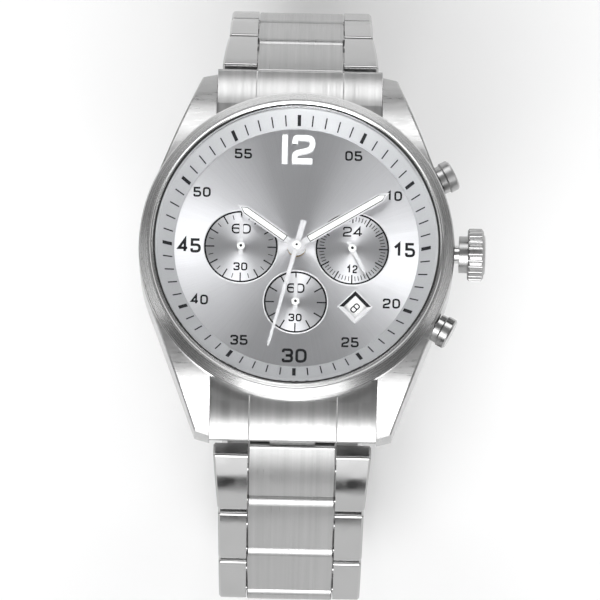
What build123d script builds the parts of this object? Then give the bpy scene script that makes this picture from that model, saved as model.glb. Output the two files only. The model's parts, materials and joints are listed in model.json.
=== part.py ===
"""Wrist chronograph on a steel bracelet, built as separate pieces.

Frame: millimetres, origin at the centre of the case back's outer face, +Z out through the crystal,
+Y towards 12 o'clock, +X towards 3 o'clock (the crown). The bracelet is closed into its worn loop.
"""
from build123d import *
from math import atan2, cos, degrees, hypot, pi, radians, sin, sqrt
import os

# ---------------------------------------------------------------- driving dimensions
# Case
CASE_R = 21.0              # case middle, outside radius
CASE_Z0 = 0.7              # case middle, lowest face of its band
CASE_Z1 = 8.9              # case middle, top face under the bezel
CASE_BORE_R = 17.5         # bore that holds the movement
LUG_SLOT = 22.2            # gap between a pair of lugs
LUG_TIP_W = 2.0            # width of a lug at its tip
LUG_REACH = 24.8           # lug tip, distance from the centre along Y
LUG_TIP_RAKE = 0.55        # how far the tip's outer corner falls short of its inner corner
LUG_TOP_Z = 4.3            # lug upper surface at the tip
LUG_FOOT_Z = -0.5          # lug lowest point
LUG_KNEE_Y = 12.5          # where the lug's upper surface starts to fall
SLOT_WALL_R = 20.1         # case wall behind an end link
END_LINK_Y = 16.4          # back corners of an end link
CASE_EDGE = 0.35           # rounding of the case's outer edges

# Bezel, crystal and flange
BEZEL_R = 20.9
BEZEL_EDGE_Z = 10.5        # top of the bezel's side wall
BEZEL_BAND_R = 19.65       # inner edge of the sloping band
BEZEL_BAND_Z = 11.35
BEZEL_LIP_R = 19.15        # inner edge of the raised lip
BEZEL_TOP_Z = 11.75
CRYSTAL_R = 18.75
CRYSTAL_Z0 = 10.9
CRYSTAL_Z1 = 11.95
CRYSTAL_BEVEL = 0.25
FIT_GAP = 0.03             # clearance between stacked and nested fixed pieces
FLANGE_FOOT_R = 16.25      # where the flange meets the dial
FLANGE_TOP_R = 18.45

# Dial
DIAL_R = 17.3
DIAL_FOOT_R = 0.35
DIAL_Z0 = 8.2
DIAL_Z1 = 8.6
SUBDIAL_REACH = 7.4        # small dials, distance from the centre
SUBDIAL_R = 4.9            # minute counter and 24-hour dial
SUBDIAL_LOW_R = 4.2        # running seconds dial
SUBDIAL_DEPTH = 0.12
DATE_REACH = 11.2          # date window, distance from the centre
DATE_ANGLE = -45.0         # direction of the date window from +X
DATE_WINDOW = 2.2          # side of the square window
POST_HOLE_R = 0.45         # dial holes for the small hands' arbors
CENTRE_HOLE_R = 1.25

# Case back
BACK_R = 18.4
BACK_RIM_Z = 1.45          # top of the cover's outer rim
BACK_LIP_R = 17.1
BACK_LIP_Z = 2.1
BACK_SKIN = 1.1            # thickness of the cover
BACK_EDGE = 0.5
NOTCH_COUNT = 6            # wrench notches in the screw-in back
NOTCH_W = 1.6

# Movement
PLATE_R = 15.0
PLATE_Z0 = 5.6
PLATE_Z1 = 8.15
DATE_SEAT_Z = 7.6          # ledge the date ring turns on
POCKET_Z = 6.5             # floor of the pocket for the motion work
POCKET_R = 12.1
RING_R = 17.4              # movement holder ring
RING_Z0 = 2.15
DATE_RING_R = 13.3
DATE_RING_BORE = 9.5
DATE_RING_Z = 7.65
DATE_TEETH = 31
DATE_RING_T = 0.3
BRIDGE_Z0 = 1.95
BRIDGE_Z1 = 2.65
CENTRE_TUBE_R = 0.5        # hollow centre arbor
CHRONO_ARBOR_R = 0.22
HOUR_PIPE_R = 0.85
ARBOR_R = 0.2              # every other arbor
JEWEL_R = 0.55
WHEEL_T = 0.2
RUN_GAP = 0.03             # radial running clearance
TOOTH_TIP = 0.9            # tooth height above the pitch circle, in modules
TOOTH_ROOT = 1.25          # tooth depth below the pitch circle, in modules
CENTRE_TEETH = 80
CENTRE_PINION = 12
BARREL_TEETH = 72
THIRD_TEETH = 75
THIRD_PINION = 10
FOURTH_TEETH = 80
FOURTH_PINION = 10
ESCAPE_PINION = 8
ESCAPE_TEETH = 15
CANNON_TEETH = 12
MINUTE_TEETH = 36
MINUTE_PINION = 10
HOUR_TEETH = 40
DAY_TEETH = 80
CENTRE_MODULE = 0.11
THIRD_MODULE = 0.1
FOURTH_MODULE = 0.09
BARREL_MODULE = 0.14
COUNTER_TEETH = 60
COUNTER_MODULE = 0.1
IDLER_TEETH = 12
CHRONO_WHEEL_R = 3.2
CENTRE_WHEEL_Z = 5.1
THIRD_WHEEL_Z = 4.5
FOURTH_WHEEL_Z = 3.95
ESCAPE_WHEEL_Z = 3.5
BALANCE_Z = 3.05
HAIRSPRING_Z = 2.75
BARREL_Z = (2.8, 4.75)
MINUTE_WHEEL_Z = 6.6
HOUR_WHEEL_Z = 7.0
CHRONO_WHEEL_Z = 1.36
COUNTER_Z = 1.62
LEVER_Z = (1.4, 1.75)
BARREL_DIRECTION = 110.0   # direction of the barrel from the centre
ESCAPE_DIRECTION = -20.0   # direction of the escape wheel from the fourth wheel
BALANCE_DIRECTION = 45.0   # direction of the balance from the escape wheel
BALANCE_R = 3.4
ESCAPE_R = 2.0
COCK_DIRECTION = -12.0     # foot of the balance cock, from the centre
THIRD_SIDE = -1            # the third wheel sits left of the line from 12 to 6
STEM_Z = 6.9               # height of the crown's and pushers' axes
STEM_R = 0.55
STEM_END = 12.2            # inner end of the stem, from the centre

# Hands
HAND_T = 0.15
HOUR_HAND_Z = 9.25
MINUTE_HAND_Z = 9.6
SECONDS_HAND_Z = 9.95
SMALL_HAND_Z = 8.85
HOUR_HAND_L = 9.7
MINUTE_HAND_L = 14.3
SECONDS_HAND_L = 14.3
HAND_W = 1.25
HAND_HUB_R = 1.25
SECONDS_TAIL_L = 3.5
SMALL_HAND_L = 4.1
HOUR_HAND_ANGLE = 304.9    # clock angles, clockwise from 12
MINUTE_HAND_ANGLE = 58.4
SECONDS_HAND_ANGLE = 194.4
DAY_HAND_ANGLE = 152.4

# Crown and pushers
CROWN_R = 3.5
CROWN_X0 = CASE_R + 1.75   # inner face of the fluted rim
CROWN_X1 = CROWN_X0 + 2.35
CROWN_COLLAR_R = 2.45
CROWN_COLLAR_X = CASE_R + 0.6
FLUTE_COUNT = 26
TUBE_R = 1.2
PUSHER_DIRECTION = 28.0    # pushers, degrees either side of 3 o'clock
PUSHER_CAP_R = 2.1
PUSHER_COLLAR_R = 1.9
PUSHER_TIP = CASE_R + 2.4   # outer end, from the centre
PUSHER_CAP_L = 1.4
PUSHER_COLLAR_L = 0.75
PUSHER_TRAVEL = 0.8
PUSHER_STEM_R = 0.6
PUSHER_TUBE_R = 1.3

# Bracelet
LINK_T = 3.0               # link thickness
LINK_PITCH = 10.0          # pivot to pivot
FIRST_PITCH = 11.65        # the first link is longer
LINK_ANGLES = (49.3, 60.3, 69, 106, 108, 129.95, 160)  # each link's slope below the dial plane, end link first
CENTRE_W = 11.5            # middle piece of a link
SIDE_GAP = 0.15            # between a middle piece and its outer pieces
END_GAP = 0.2              # between one link's end and the next
PIVOT_SETBACK = 1.45       # pivot from the end of a link
FIRST_WIDTHS = (21.1, 19.5)  # bracelet width at the first link's two ends
LAST_WIDTH = 18.1          # bracelet width at the clasp
PIN_R = 0.5
PIN_HOLE_R = PIN_R + 0.04
LUG_HOLE_R = PIN_R         # the spring bar sits in the lugs
LINK_BOW = 0.4             # how far a link's outer face bows out along its length
LINK_EDGE_OUT = 0.45       # rounding of a link's ends, outer side
LINK_EDGE_IN = 0.4         # bevel of a link's ends, inner side
LINK_SIDE_EDGE = 0.28      # bevel along the bracelet's sides
LINK_ROW_EDGE = 0.12       # bevel along the sides of the middle row
FIRST_PIVOT = (23.68, 3.76)  # spring bar axis in the lugs: Y and Z
FIRST_GAP = 0.15           # between end link and first link, middle row
OUTER_START = 3.2          # first link's outer pieces start this far from its pivot

# Clasp
COVER_L = 38.0
COVER_W = 20.0
COVER_T = 0.8
COVER_H = 4.6
COVER_LEAD = 3.4           # cover beyond its spring bar, towards 12 o'clock
COVER_SINK = 2.6           # cover's outer face below the spring bar axis
COVER_EDGE = 0.5
COVER_CLEAR = 0.15
LEAF_T = 0.8
LEAF_W = 9.0
HINGE_R = 0.85
COVER_HINGE_REACH = 32.0   # cover's spring bar to the hinge of the long leaf
LEAF_HINGE_REACH = 7.2     # cover's spring bar to the hinge between the leaves
BUTTON_R = 1.5
BUTTON_OUT = 0.9
BUTTON_TRAVEL = 0.6

# ---------------------------------------------------------------- small helpers


def disc(radius, z0, z1, x=0.0, y=0.0):
    return Pos(x, y, z0) * extrude(Circle(radius), z1 - z0)


def ring(outer, inner, z0, z1, x=0.0, y=0.0):
    return Pos(x, y, z0) * extrude(Circle(outer) - Circle(inner), z1 - z0)


def turned(*points):
    """A closed profile in the XZ plane, as (radius, z) points, turned round the Z axis."""
    outline = Polyline(*[(r, 0, z) for r, z in points], close=True)
    return revolve(make_face(outline), Axis.Z)


def polar(radius, angle):
    return radius * cos(radians(angle)), radius * sin(radians(angle))


def clock(angle):
    """A clock angle, clockwise from 12, as an angle from +X."""
    return 90.0 - angle


def along_x(shape, direction=0.0, z=0.0):
    """Turns a shape built along +Z so that it points outwards at this direction."""
    return Rot(0, 0, direction) * Pos(0, 0, z) * Rot(0, 90, 0) * shape


def gear_outline(teeth, module, phase=0.0):
    """Straight-sided watch teeth, with one tooth centred on the phase angle."""
    pitch_r = teeth * module / 2
    tip_r = pitch_r + TOOTH_TIP * module
    root_r = pitch_r - TOOTH_ROOT * module
    step = 2 * pi / teeth
    points = []
    for i in range(teeth):
        middle = radians(phase) + i * step
        for radius, share in ((root_r, -0.30), (tip_r, -0.11), (tip_r, 0.11), (root_r, 0.30)):
            angle = middle + share * step
            points.append((radius * cos(angle), radius * sin(angle)))
    return make_face(Polyline(*points, close=True))


def gear(teeth, module, z0, z1, at=(0, 0), phase=0.0):
    return Pos(at[0], at[1], z0) * extrude(gear_outline(teeth, module, phase), z1 - z0)


def spoked(wheel, teeth, module, z0, z1, at, spokes=5):
    """Cuts the windows between a wheel's spokes."""
    rim_r = teeth * module / 2 - 4 * module
    hub_r = rim_r * 0.34
    window = Circle(rim_r) - Circle(hub_r)
    arm = Rectangle(rim_r * 2.2, rim_r * 0.17)
    for i in range(spokes):
        window -= Rot(0, 0, i * 360 / spokes) * Pos(rim_r * 1.1, 0) * arm
    return wheel - Pos(at[0], at[1], z0 - 1) * extrude(window, z1 - z0 + 2)


def direction_between(start, end):
    return degrees(atan2(end[1] - start[1], end[0] - start[0]))


# ---------------------------------------------------------------- case


def case_outline(radius, reach, tip_w):
    """The case seen from the front: a circle with four lugs on straight tangents."""
    outline = Circle(radius)
    inner_x = LUG_SLOT / 2
    outer_x = inner_x + tip_w
    outer_y = reach - LUG_TIP_RAKE
    distance = hypot(outer_x, outer_y)
    touch = degrees(atan2(outer_y, outer_x)) - degrees(atan2(sqrt(distance**2 - radius**2), radius))
    tangent = polar(radius, touch)
    lug = make_face(Polyline((inner_x, 0), tangent, (outer_x, outer_y), (inner_x, reach), close=True))
    for flip_x in (False, True):
        for flip_y in (False, True):
            piece = lug
            if flip_x:
                piece = mirror(piece, Plane.YZ)
            if flip_y:
                piece = mirror(piece, Plane.XZ)
            outline += piece
    return outline


def lug_profile():
    """Side view of the case: flat in the middle, falling to the lug tips, hollowed underneath."""
    y_end = LUG_REACH + 1
    upper = Polyline((-LUG_KNEE_Y, CASE_Z1), (LUG_KNEE_Y, CASE_Z1))
    fall = TangentArc((LUG_KNEE_Y, CASE_Z1), (LUG_REACH, LUG_TOP_Z), tangent=(1, 0))
    tip = Polyline(fall @ 1, (y_end, LUG_TOP_Z - 0.6), (y_end, LUG_FOOT_Z), (LUG_REACH - 2.2, LUG_FOOT_Z))
    belly = ThreePointArc(tip @ 1, (17.2, CASE_Z0 - 0.35), (13.0, CASE_Z0))
    base = Line(belly @ 1, (-13.0, CASE_Z0))
    right = [fall, tip, belly]
    left = [mirror(edge, Plane.YZ) for edge in right]
    return make_face(Curve() + [upper, base, *right, *left])


def round_outer_edges(body):
    """Rounds the upper outer edges of the case and the lugs."""
    edges = []
    for edge in body.edges():
        centre = edge.center()
        upright = abs((edge @ 0).Z - (edge @ 1).Z) > 1 and hypot((edge @ 0).X - (edge @ 1).X, (edge @ 0).Y - (edge @ 1).Y) < 0.01
        high = min((edge @ 0).Z, (edge @ 1).Z) > LUG_TOP_Z + 0.2
        outside = hypot(centre.X, centre.Y) > 18 and abs(centre.X) > LUG_SLOT / 2 + LUG_TIP_W
        if edge.length > 5 and high and outside and not upright:
            edges.append(edge)
    return fillet(edges, CASE_EDGE)


def case_middle():
    body = Pos(0, 0, LUG_FOOT_Z - 1) * extrude(
        case_outline(CASE_R, LUG_REACH, LUG_TIP_W), CASE_Z1 - LUG_FOOT_Z + 2
    )
    side = Rot(0, 0, 90) * Rot(90, 0, 0) * lug_profile()
    profile = extrude(Pos(-CASE_R - 5, 0, 0) * side, 2 * CASE_R + 10, dir=(1, 0, 0))
    body &= profile
    slot_l = LUG_REACH + 2 - 10
    for sign in (-1, 1):
        slot = Pos(0, sign * (10 + slot_l / 2), 4) * Box(LUG_SLOT, slot_l, 20)
        body -= slot - disc(SLOT_WALL_R, -8, 16)
    body = round_outer_edges(body)
    body -= disc(CASE_BORE_R, -5, 20)
    body -= disc(BACK_R + FIT_GAP, -5, BACK_RIM_Z + FIT_GAP)
    body -= ring(BACK_R - 0.2, CASE_BORE_R - 0.1, 0, BACK_RIM_Z + 0.35)
    for sign in (-1, 1):
        hole = Pos(0, sign * FIRST_PIVOT[0], FIRST_PIVOT[1]) * Rot(0, 90, 0) * Cylinder(LUG_HOLE_R, LUG_SLOT + 2.4)
        body -= hole
    body -= along_x(disc(TUBE_R, 10, 30), 0, STEM_Z)
    for direction in (-PUSHER_DIRECTION, PUSHER_DIRECTION):
        body -= along_x(disc(PUSHER_TUBE_R, 10, 30), direction, STEM_Z)
        body -= along_x(disc(PUSHER_COLLAR_R + 0.04, CASE_R - 0.72, 30), direction, STEM_Z)
    return body


# ---------------------------------------------------------------- case, bezel, crystal, dial


def bezel():
    inner = CRYSTAL_R + 0.28
    return turned(
        (FLANGE_TOP_R + 0.18, CASE_Z1 + FIT_GAP), (BEZEL_R - 0.15, CASE_Z1 + FIT_GAP),
        (BEZEL_R, CASE_Z1 + 0.25), (BEZEL_R, BEZEL_EDGE_Z - 0.15), (BEZEL_R - 0.15, BEZEL_EDGE_Z),
        (BEZEL_BAND_R + 0.1, BEZEL_BAND_Z), (BEZEL_BAND_R + 0.05, BEZEL_BAND_Z - 0.12),
        (BEZEL_BAND_R - 0.08, BEZEL_BAND_Z - 0.12), (BEZEL_BAND_R - 0.12, BEZEL_BAND_Z + 0.1),
        (BEZEL_BAND_R - 0.25, BEZEL_TOP_Z - 0.05), (BEZEL_LIP_R + 0.05, BEZEL_TOP_Z),
        (inner, BEZEL_TOP_Z - 0.1), (inner, CRYSTAL_Z0 - FIT_GAP),
        (FLANGE_TOP_R + 0.18, CRYSTAL_Z0 - FIT_GAP),
    )


def crystal():
    edge = CRYSTAL_R
    return turned(
        (0, CRYSTAL_Z0), (edge, CRYSTAL_Z0), (edge, CRYSTAL_Z1 - CRYSTAL_BEVEL),
        (edge - CRYSTAL_BEVEL, CRYSTAL_Z1), (0, CRYSTAL_Z1),
    )


def flange_ring():
    foot_z = DIAL_Z1 + FIT_GAP
    top_z = CRYSTAL_Z0 - FIT_GAP
    seat_r = CASE_BORE_R - FIT_GAP
    wide_r = FLANGE_TOP_R + 0.15
    step_z = CASE_Z1 + FIT_GAP
    return turned(
        (FLANGE_FOOT_R, foot_z), (seat_r, foot_z), (seat_r, step_z), (wide_r, step_z), (wide_r, top_z),
        (FLANGE_TOP_R, top_z), (FLANGE_TOP_R - 0.2, top_z - 0.15), (FLANGE_FOOT_R, foot_z + 0.25),
    )


def subdials():
    """Centre and radius of each small dial: minute counter, 24-hour dial, running seconds."""
    return (
        ((-SUBDIAL_REACH, 0), SUBDIAL_R), ((SUBDIAL_REACH, 0), SUBDIAL_R), ((0, -SUBDIAL_REACH), SUBDIAL_LOW_R),
    )


def dial():
    plate = disc(DIAL_R, DIAL_Z0, DIAL_Z1)
    for (x, y), radius in subdials():
        plate -= disc(radius, DIAL_Z1 - SUBDIAL_DEPTH, DIAL_Z1 + 1, x, y)
        plate -= disc(POST_HOLE_R, DIAL_Z0 - 1, DIAL_Z1 + 1, x, y)
    window = Rot(0, 0, DATE_ANGLE) * Pos(DATE_REACH, 0, DIAL_Z1) * Box(DATE_WINDOW, DATE_WINDOW, 4)
    plate -= window
    plate -= disc(CENTRE_HOLE_R, DIAL_Z0 - 1, DIAL_Z1 + 1)
    for angle in (75, 255):
        x, y = polar(RING_R - 1.0, angle)
        plate += disc(DIAL_FOOT_R, DIAL_Z0 - 1.2, DIAL_Z0 + 0.1, x, y)
    return plate


def date_ring():
    blank = ring(DATE_RING_R, DATE_RING_BORE, DATE_RING_Z, DATE_RING_Z + DATE_RING_T)
    for i in range(DATE_TEETH):
        x, y = polar(DATE_RING_BORE, i * 360 / DATE_TEETH)
        blank -= disc(0.42, DATE_RING_Z - 1, DATE_RING_Z + 1, x, y)
    return blank


def case_back():
    wall_out = CASE_BORE_R - FIT_GAP
    cover = turned(
        (0, 0), (BACK_R - BACK_EDGE, 0), (BACK_R, BACK_EDGE), (BACK_R, BACK_RIM_Z), (wall_out, BACK_RIM_Z),
        (wall_out, BACK_LIP_Z), (wall_out - 0.7, BACK_LIP_Z), (wall_out - 0.7, BACK_SKIN), (0, BACK_SKIN),
    )
    for i in range(NOTCH_COUNT):
        notch = Rot(0, 0, i * 360 / NOTCH_COUNT) * Pos(BACK_R, 0, 0) * Box(1.8, NOTCH_W, 0.9)
        cover -= notch
    cover -= ring(BACK_R - 2.6, BACK_R - 2.9, -1, 0.15)
    return cover


# ---------------------------------------------------------------- movement
CENTRE_AT = (0.0, 0.0)
FOURTH_AT = (0.0, -SUBDIAL_REACH)
THIRD_TO_CENTRE = CENTRE_MODULE * (CENTRE_TEETH + THIRD_PINION) / 2
THIRD_TO_FOURTH = THIRD_MODULE * (THIRD_TEETH + FOURTH_PINION) / 2
THIRD_Y = -(THIRD_TO_CENTRE**2 - THIRD_TO_FOURTH**2 + SUBDIAL_REACH**2) / (2 * SUBDIAL_REACH)
THIRD_AT = (THIRD_SIDE * sqrt(THIRD_TO_CENTRE**2 - THIRD_Y**2), THIRD_Y)
ESCAPE_STEP = polar(FOURTH_MODULE * (FOURTH_TEETH + ESCAPE_PINION) / 2, ESCAPE_DIRECTION)
ESCAPE_AT = (FOURTH_AT[0] + ESCAPE_STEP[0], FOURTH_AT[1] + ESCAPE_STEP[1])
PALLET_REACH = ESCAPE_R + 0.45
BALANCE_STEP = polar(PALLET_REACH + BALANCE_R + 0.35, BALANCE_DIRECTION)
BALANCE_AT = (ESCAPE_AT[0] + BALANCE_STEP[0], ESCAPE_AT[1] + BALANCE_STEP[1])
PALLET_STEP = polar(PALLET_REACH, BALANCE_DIRECTION)
PALLET_AT = (ESCAPE_AT[0] + PALLET_STEP[0], ESCAPE_AT[1] + PALLET_STEP[1])
BARREL_AT = polar(BARREL_MODULE * (BARREL_TEETH + CENTRE_PINION) / 2, BARREL_DIRECTION)
MINUTE_REACH = CENTRE_MODULE * (CANNON_TEETH + MINUTE_TEETH) / 2
MINUTE_AT = polar(MINUTE_REACH, 150)
HOUR_MODULE = 2 * MINUTE_REACH / (MINUTE_PINION + HOUR_TEETH)
DAY_AT = (SUBDIAL_REACH, 0.0)
HOUR_TO_IDLER = HOUR_MODULE * (HOUR_TEETH + IDLER_TEETH) / 2
DAY_TO_IDLER = HOUR_MODULE * (DAY_TEETH + IDLER_TEETH) / 2
IDLER_X = (HOUR_TO_IDLER**2 - DAY_TO_IDLER**2 + SUBDIAL_REACH**2) / (2 * SUBDIAL_REACH)
IDLER_AT = (IDLER_X, sqrt(HOUR_TO_IDLER**2 - IDLER_X**2))
COUNTER_AT = (-SUBDIAL_REACH, 0.0)
COUNTER_TO_IDLER = COUNTER_MODULE * (COUNTER_TEETH + IDLER_TEETH) / 2
COUNTER_IDLER_AT = (-SUBDIAL_REACH + COUNTER_TO_IDLER, 0.0)
COCK_AT = polar(PLATE_R - 1.8, COCK_DIRECTION)
LEVER_PIVOT_R = 13.0
LEVER_SPREAD = 19.0        # lever pivot, degrees past the pusher
TAB_R = 14.4               # inner face of a lever's upright tab
TAB_T = 0.5
TAB_W = 1.6
NOSE_R = 4.5


def mesh_phase(teeth_a, phase_a, direction, teeth_b):
    """Phase of gear B so that its teeth fall between those of gear A."""
    step_a = 360 / teeth_a
    share = ((direction - phase_a) / step_a) % 1.0
    return direction + 180 + (share - 0.5) * 360 / teeth_b


def arbor(at, radius, z0, z1):
    return disc(radius, z0, z1, at[0], at[1])


def main_plate():
    plate = disc(PLATE_R, PLATE_Z0, PLATE_Z1)
    plate -= disc(DATE_RING_R + 0.05, DATE_SEAT_Z, PLATE_Z1 + 1)
    plate -= disc(POCKET_R, POCKET_Z, PLATE_Z1 + 1)
    for angle in (10, 75, 170, 225):
        x, y = polar(PLATE_R - 1.8, angle)
        plate += disc(1.2, BRIDGE_Z1, PLATE_Z0 + 0.1, x, y)
        plate -= disc(0.4, BRIDGE_Z1 - 1, PLATE_Z0, x, y)
    plate += disc(1.2, BRIDGE_Z1, PLATE_Z0 + 0.1, *COCK_AT)
    plate -= disc(0.4, BRIDGE_Z1 - 1, PLATE_Z0, *COCK_AT)
    through = (CENTRE_AT, CENTRE_TUBE_R), (FOURTH_AT, ARBOR_R), (COUNTER_AT, ARBOR_R)
    for at, radius in through:
        plate -= arbor(at, radius + RUN_GAP, 0, 20)
    for at in (THIRD_AT, ESCAPE_AT, PALLET_AT, BALANCE_AT, BARREL_AT):
        plate -= arbor(at, ARBOR_R + RUN_GAP, 0, PLATE_Z0 + 0.45)
    for at in (MINUTE_AT, DAY_AT, IDLER_AT):
        plate -= arbor(at, ARBOR_R + RUN_GAP, POCKET_Z - 0.6, 20)
    plate -= along_x(disc(STEM_R + RUN_GAP, STEM_END - 0.3, PLATE_R + 1), 0, STEM_Z)
    for side in (-1, 1):
        plate -= lever_window(side, PLATE_Z0 - 1, STEM_Z + 0.9)
    return plate


def lever_window(side, z0, z1):
    depth = PLATE_R + 1 - (TAB_R - 1.3)
    place = Rot(0, 0, side * PUSHER_DIRECTION) * Pos(TAB_R - 1.3 + depth / 2, 0, (z0 + z1) / 2)
    return place * Box(depth, TAB_W + 1.6, z1 - z0)


def cock_outline(grow):
    reach = hypot(COCK_AT[0] - BALANCE_AT[0], COCK_AT[1] - BALANCE_AT[1])
    turn = direction_between(BALANCE_AT, COCK_AT)
    bar = Pos(*BALANCE_AT) * Rot(0, 0, turn) * Pos(reach / 2, 0) * Rectangle(reach, 2.2 + 2 * grow)
    return bar + Pos(*BALANCE_AT) * Circle(1.4 + grow) + Pos(*COCK_AT) * Circle(1.6 + grow)


def jewel_sites():
    return THIRD_AT, FOURTH_AT, ESCAPE_AT, PALLET_AT


def train_bridge():
    outline = Circle(PLATE_R - 0.3)
    outline -= Pos(*BALANCE_AT) * Circle(BALANCE_R + 0.45)
    outline -= cock_outline(0.15)
    bridge = Pos(0, 0, BRIDGE_Z0) * extrude(outline, BRIDGE_Z1 - BRIDGE_Z0)
    keep = max(bridge.solids(), key=lambda solid: solid.volume)
    bridge = keep - arbor(CENTRE_AT, CHRONO_ARBOR_R + RUN_GAP, 0, 20)
    for at in jewel_sites():
        bridge -= arbor(at, JEWEL_R, 0, 20)
    for at in (COUNTER_AT, BARREL_AT):
        bridge -= arbor(at, ARBOR_R + RUN_GAP, 0, 20)
    for side in (-1, 1):
        bridge -= lever_window(side, 0, 5)
        x, y = lever_pivot(side)
        bridge += disc(0.4, LEVER_Z[0] - 0.1, BRIDGE_Z0 + 0.1, x, y)
    for angle in (10, 75, 170, 225):
        x, y = polar(PLATE_R - 1.8, angle)
        bridge -= disc(0.8, BRIDGE_Z0 - 1, BRIDGE_Z0 + 0.3, x, y)
        bridge += disc(0.7, BRIDGE_Z0 + 0.02, BRIDGE_Z1, x, y) - screw_slot(x, y, angle)
    x, y = COUNTER_IDLER_AT
    bridge += disc(0.18, COUNTER_Z - 0.1, BRIDGE_Z0 + 0.1, x, y)
    return bridge


def screw_slot(x, y, angle):
    return Pos(x, y, BRIDGE_Z0) * Rot(0, 0, angle) * Box(3, 0.22, 0.36)


def balance_cock():
    cock = Pos(0, 0, BRIDGE_Z0) * extrude(cock_outline(0), BRIDGE_Z1 - BRIDGE_Z0)
    cock -= disc(JEWEL_R, 0, 5, *BALANCE_AT)
    cock -= disc(0.8, BRIDGE_Z0 - 1, BRIDGE_Z0 + 0.3, *COCK_AT)
    cock += disc(0.7, BRIDGE_Z0 + 0.02, BRIDGE_Z1, *COCK_AT) - screw_slot(*COCK_AT, 20)
    return cock


def jewels():
    parts = []
    for at in (*jewel_sites(), BALANCE_AT):
        stone = disc(JEWEL_R, BRIDGE_Z0 + 0.1, BRIDGE_Z1, *at)
        parts.append(stone - disc(ARBOR_R + RUN_GAP, BRIDGE_Z0 + 0.25, BRIDGE_Z1 + 1, *at))
    return Compound(parts)


def movement_ring():
    holder = ring(RING_R, PLATE_R + FIT_GAP, RING_Z0, PLATE_Z1)
    holder -= along_x(disc(STEM_R + 0.15, PLATE_R - 2, RING_R + 2), 0, STEM_Z)
    for side in (-1, 1):
        holder -= along_x(disc(PUSHER_STEM_R + 0.1, PLATE_R - 2, RING_R + 2), side * PUSHER_DIRECTION, STEM_Z)
    for angle in (75, 255):
        x, y = polar(RING_R - 1.0, angle)
        holder -= disc(DIAL_FOOT_R + FIT_GAP, DIAL_Z0 - 1.4, DIAL_Z0 + 1, x, y)
    return holder


def wheel(at, teeth, module, z0, phase, spokes=5, thickness=WHEEL_T):
    blank = gear(teeth, module, z0, z0 + thickness, at, phase)
    return spoked(blank, teeth, module, z0, z0 + thickness, at, spokes) if spokes else blank


def centre_wheel():
    body = arbor(CENTRE_AT, CENTRE_TUBE_R, BARREL_Z[1] - 0.6, MINUTE_HAND_Z + HAND_T)
    body += wheel(CENTRE_AT, CENTRE_TEETH, CENTRE_MODULE, CENTRE_WHEEL_Z, 0)
    body += gear(CENTRE_PINION, BARREL_MODULE, BARREL_Z[1] - 0.6, BARREL_Z[1] + 0.05, CENTRE_AT, BARREL_DIRECTION)
    cannon_phase = direction_between(CENTRE_AT, MINUTE_AT)
    body += gear(CANNON_TEETH, CENTRE_MODULE, MINUTE_WHEEL_Z - 0.05, MINUTE_WHEEL_Z + 0.25, CENTRE_AT, cannon_phase)
    return body - arbor(CENTRE_AT, CHRONO_ARBOR_R + RUN_GAP, 0, 20)


def third_wheel():
    body = arbor(THIRD_AT, ARBOR_R, BRIDGE_Z0 + 0.3, PLATE_Z0 + 0.4)
    to_centre = direction_between(THIRD_AT, CENTRE_AT)
    phase = mesh_phase(CENTRE_TEETH, 0, to_centre + 180, THIRD_PINION)
    body += gear(THIRD_PINION, CENTRE_MODULE, CENTRE_WHEEL_Z - 0.1, CENTRE_WHEEL_Z + 0.3, THIRD_AT, phase)
    return body + wheel(THIRD_AT, THIRD_TEETH, THIRD_MODULE, THIRD_WHEEL_Z, 0)


def fourth_wheel():
    body = arbor(FOURTH_AT, ARBOR_R, BRIDGE_Z0 + 0.3, SMALL_HAND_Z + HAND_T)
    from_third = direction_between(THIRD_AT, FOURTH_AT)
    phase = mesh_phase(THIRD_TEETH, 0, from_third, FOURTH_PINION)
    body += gear(FOURTH_PINION, THIRD_MODULE, THIRD_WHEEL_Z - 0.1, THIRD_WHEEL_Z + 0.3, FOURTH_AT, phase)
    return body + wheel(FOURTH_AT, FOURTH_TEETH, FOURTH_MODULE, FOURTH_WHEEL_Z, 0)


def escape_wheel():
    body = arbor(ESCAPE_AT, ARBOR_R, BRIDGE_Z0 + 0.3, PLATE_Z0 + 0.4)
    phase = mesh_phase(FOURTH_TEETH, 0, ESCAPE_DIRECTION, ESCAPE_PINION)
    body += gear(ESCAPE_PINION, FOURTH_MODULE, FOURTH_WHEEL_Z - 0.1, FOURTH_WHEEL_Z + 0.3, ESCAPE_AT, phase)
    points = []
    for i in range(ESCAPE_TEETH):
        start = i * 360 / ESCAPE_TEETH
        points += [polar(ESCAPE_R - 0.5, start), polar(ESCAPE_R, start + 7), polar(ESCAPE_R - 0.06, start + 11)]
        points += [polar(ESCAPE_R - 0.5, start + 10)]
    outline = make_face(Polyline(*points, close=True)) - (Circle(ESCAPE_R - 0.75) - Circle(0.45))
    for i in range(4):
        outline += Rot(0, 0, i * 90) * Pos((ESCAPE_R - 0.4) / 2, 0) * Rectangle(ESCAPE_R - 0.4, 0.2)
    return body + Pos(*ESCAPE_AT, ESCAPE_WHEEL_Z) * extrude(outline, 0.15)


def pallet_fork():
    body = arbor(PALLET_AT, ARBOR_R, BRIDGE_Z0 + 0.3, PLATE_Z0 + 0.4)
    tail = BALANCE_R + 0.35 - 0.85
    arm = Pos(tail / 2, 0) * Rectangle(tail, 0.3) + Circle(0.42)
    prong = Pos(tail + 0.2, 0) * (Rectangle(0.55, 0.6) - Pos(0.1, 0) * Rectangle(0.55, 0.3))
    arms = Pos(-0.12, 0) * Rectangle(0.28, 2.0)
    flat = Rot(0, 0, BALANCE_DIRECTION) * (arm + prong + arms)
    return body + Pos(*PALLET_AT, ESCAPE_WHEEL_Z) * extrude(flat, 0.2)


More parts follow.
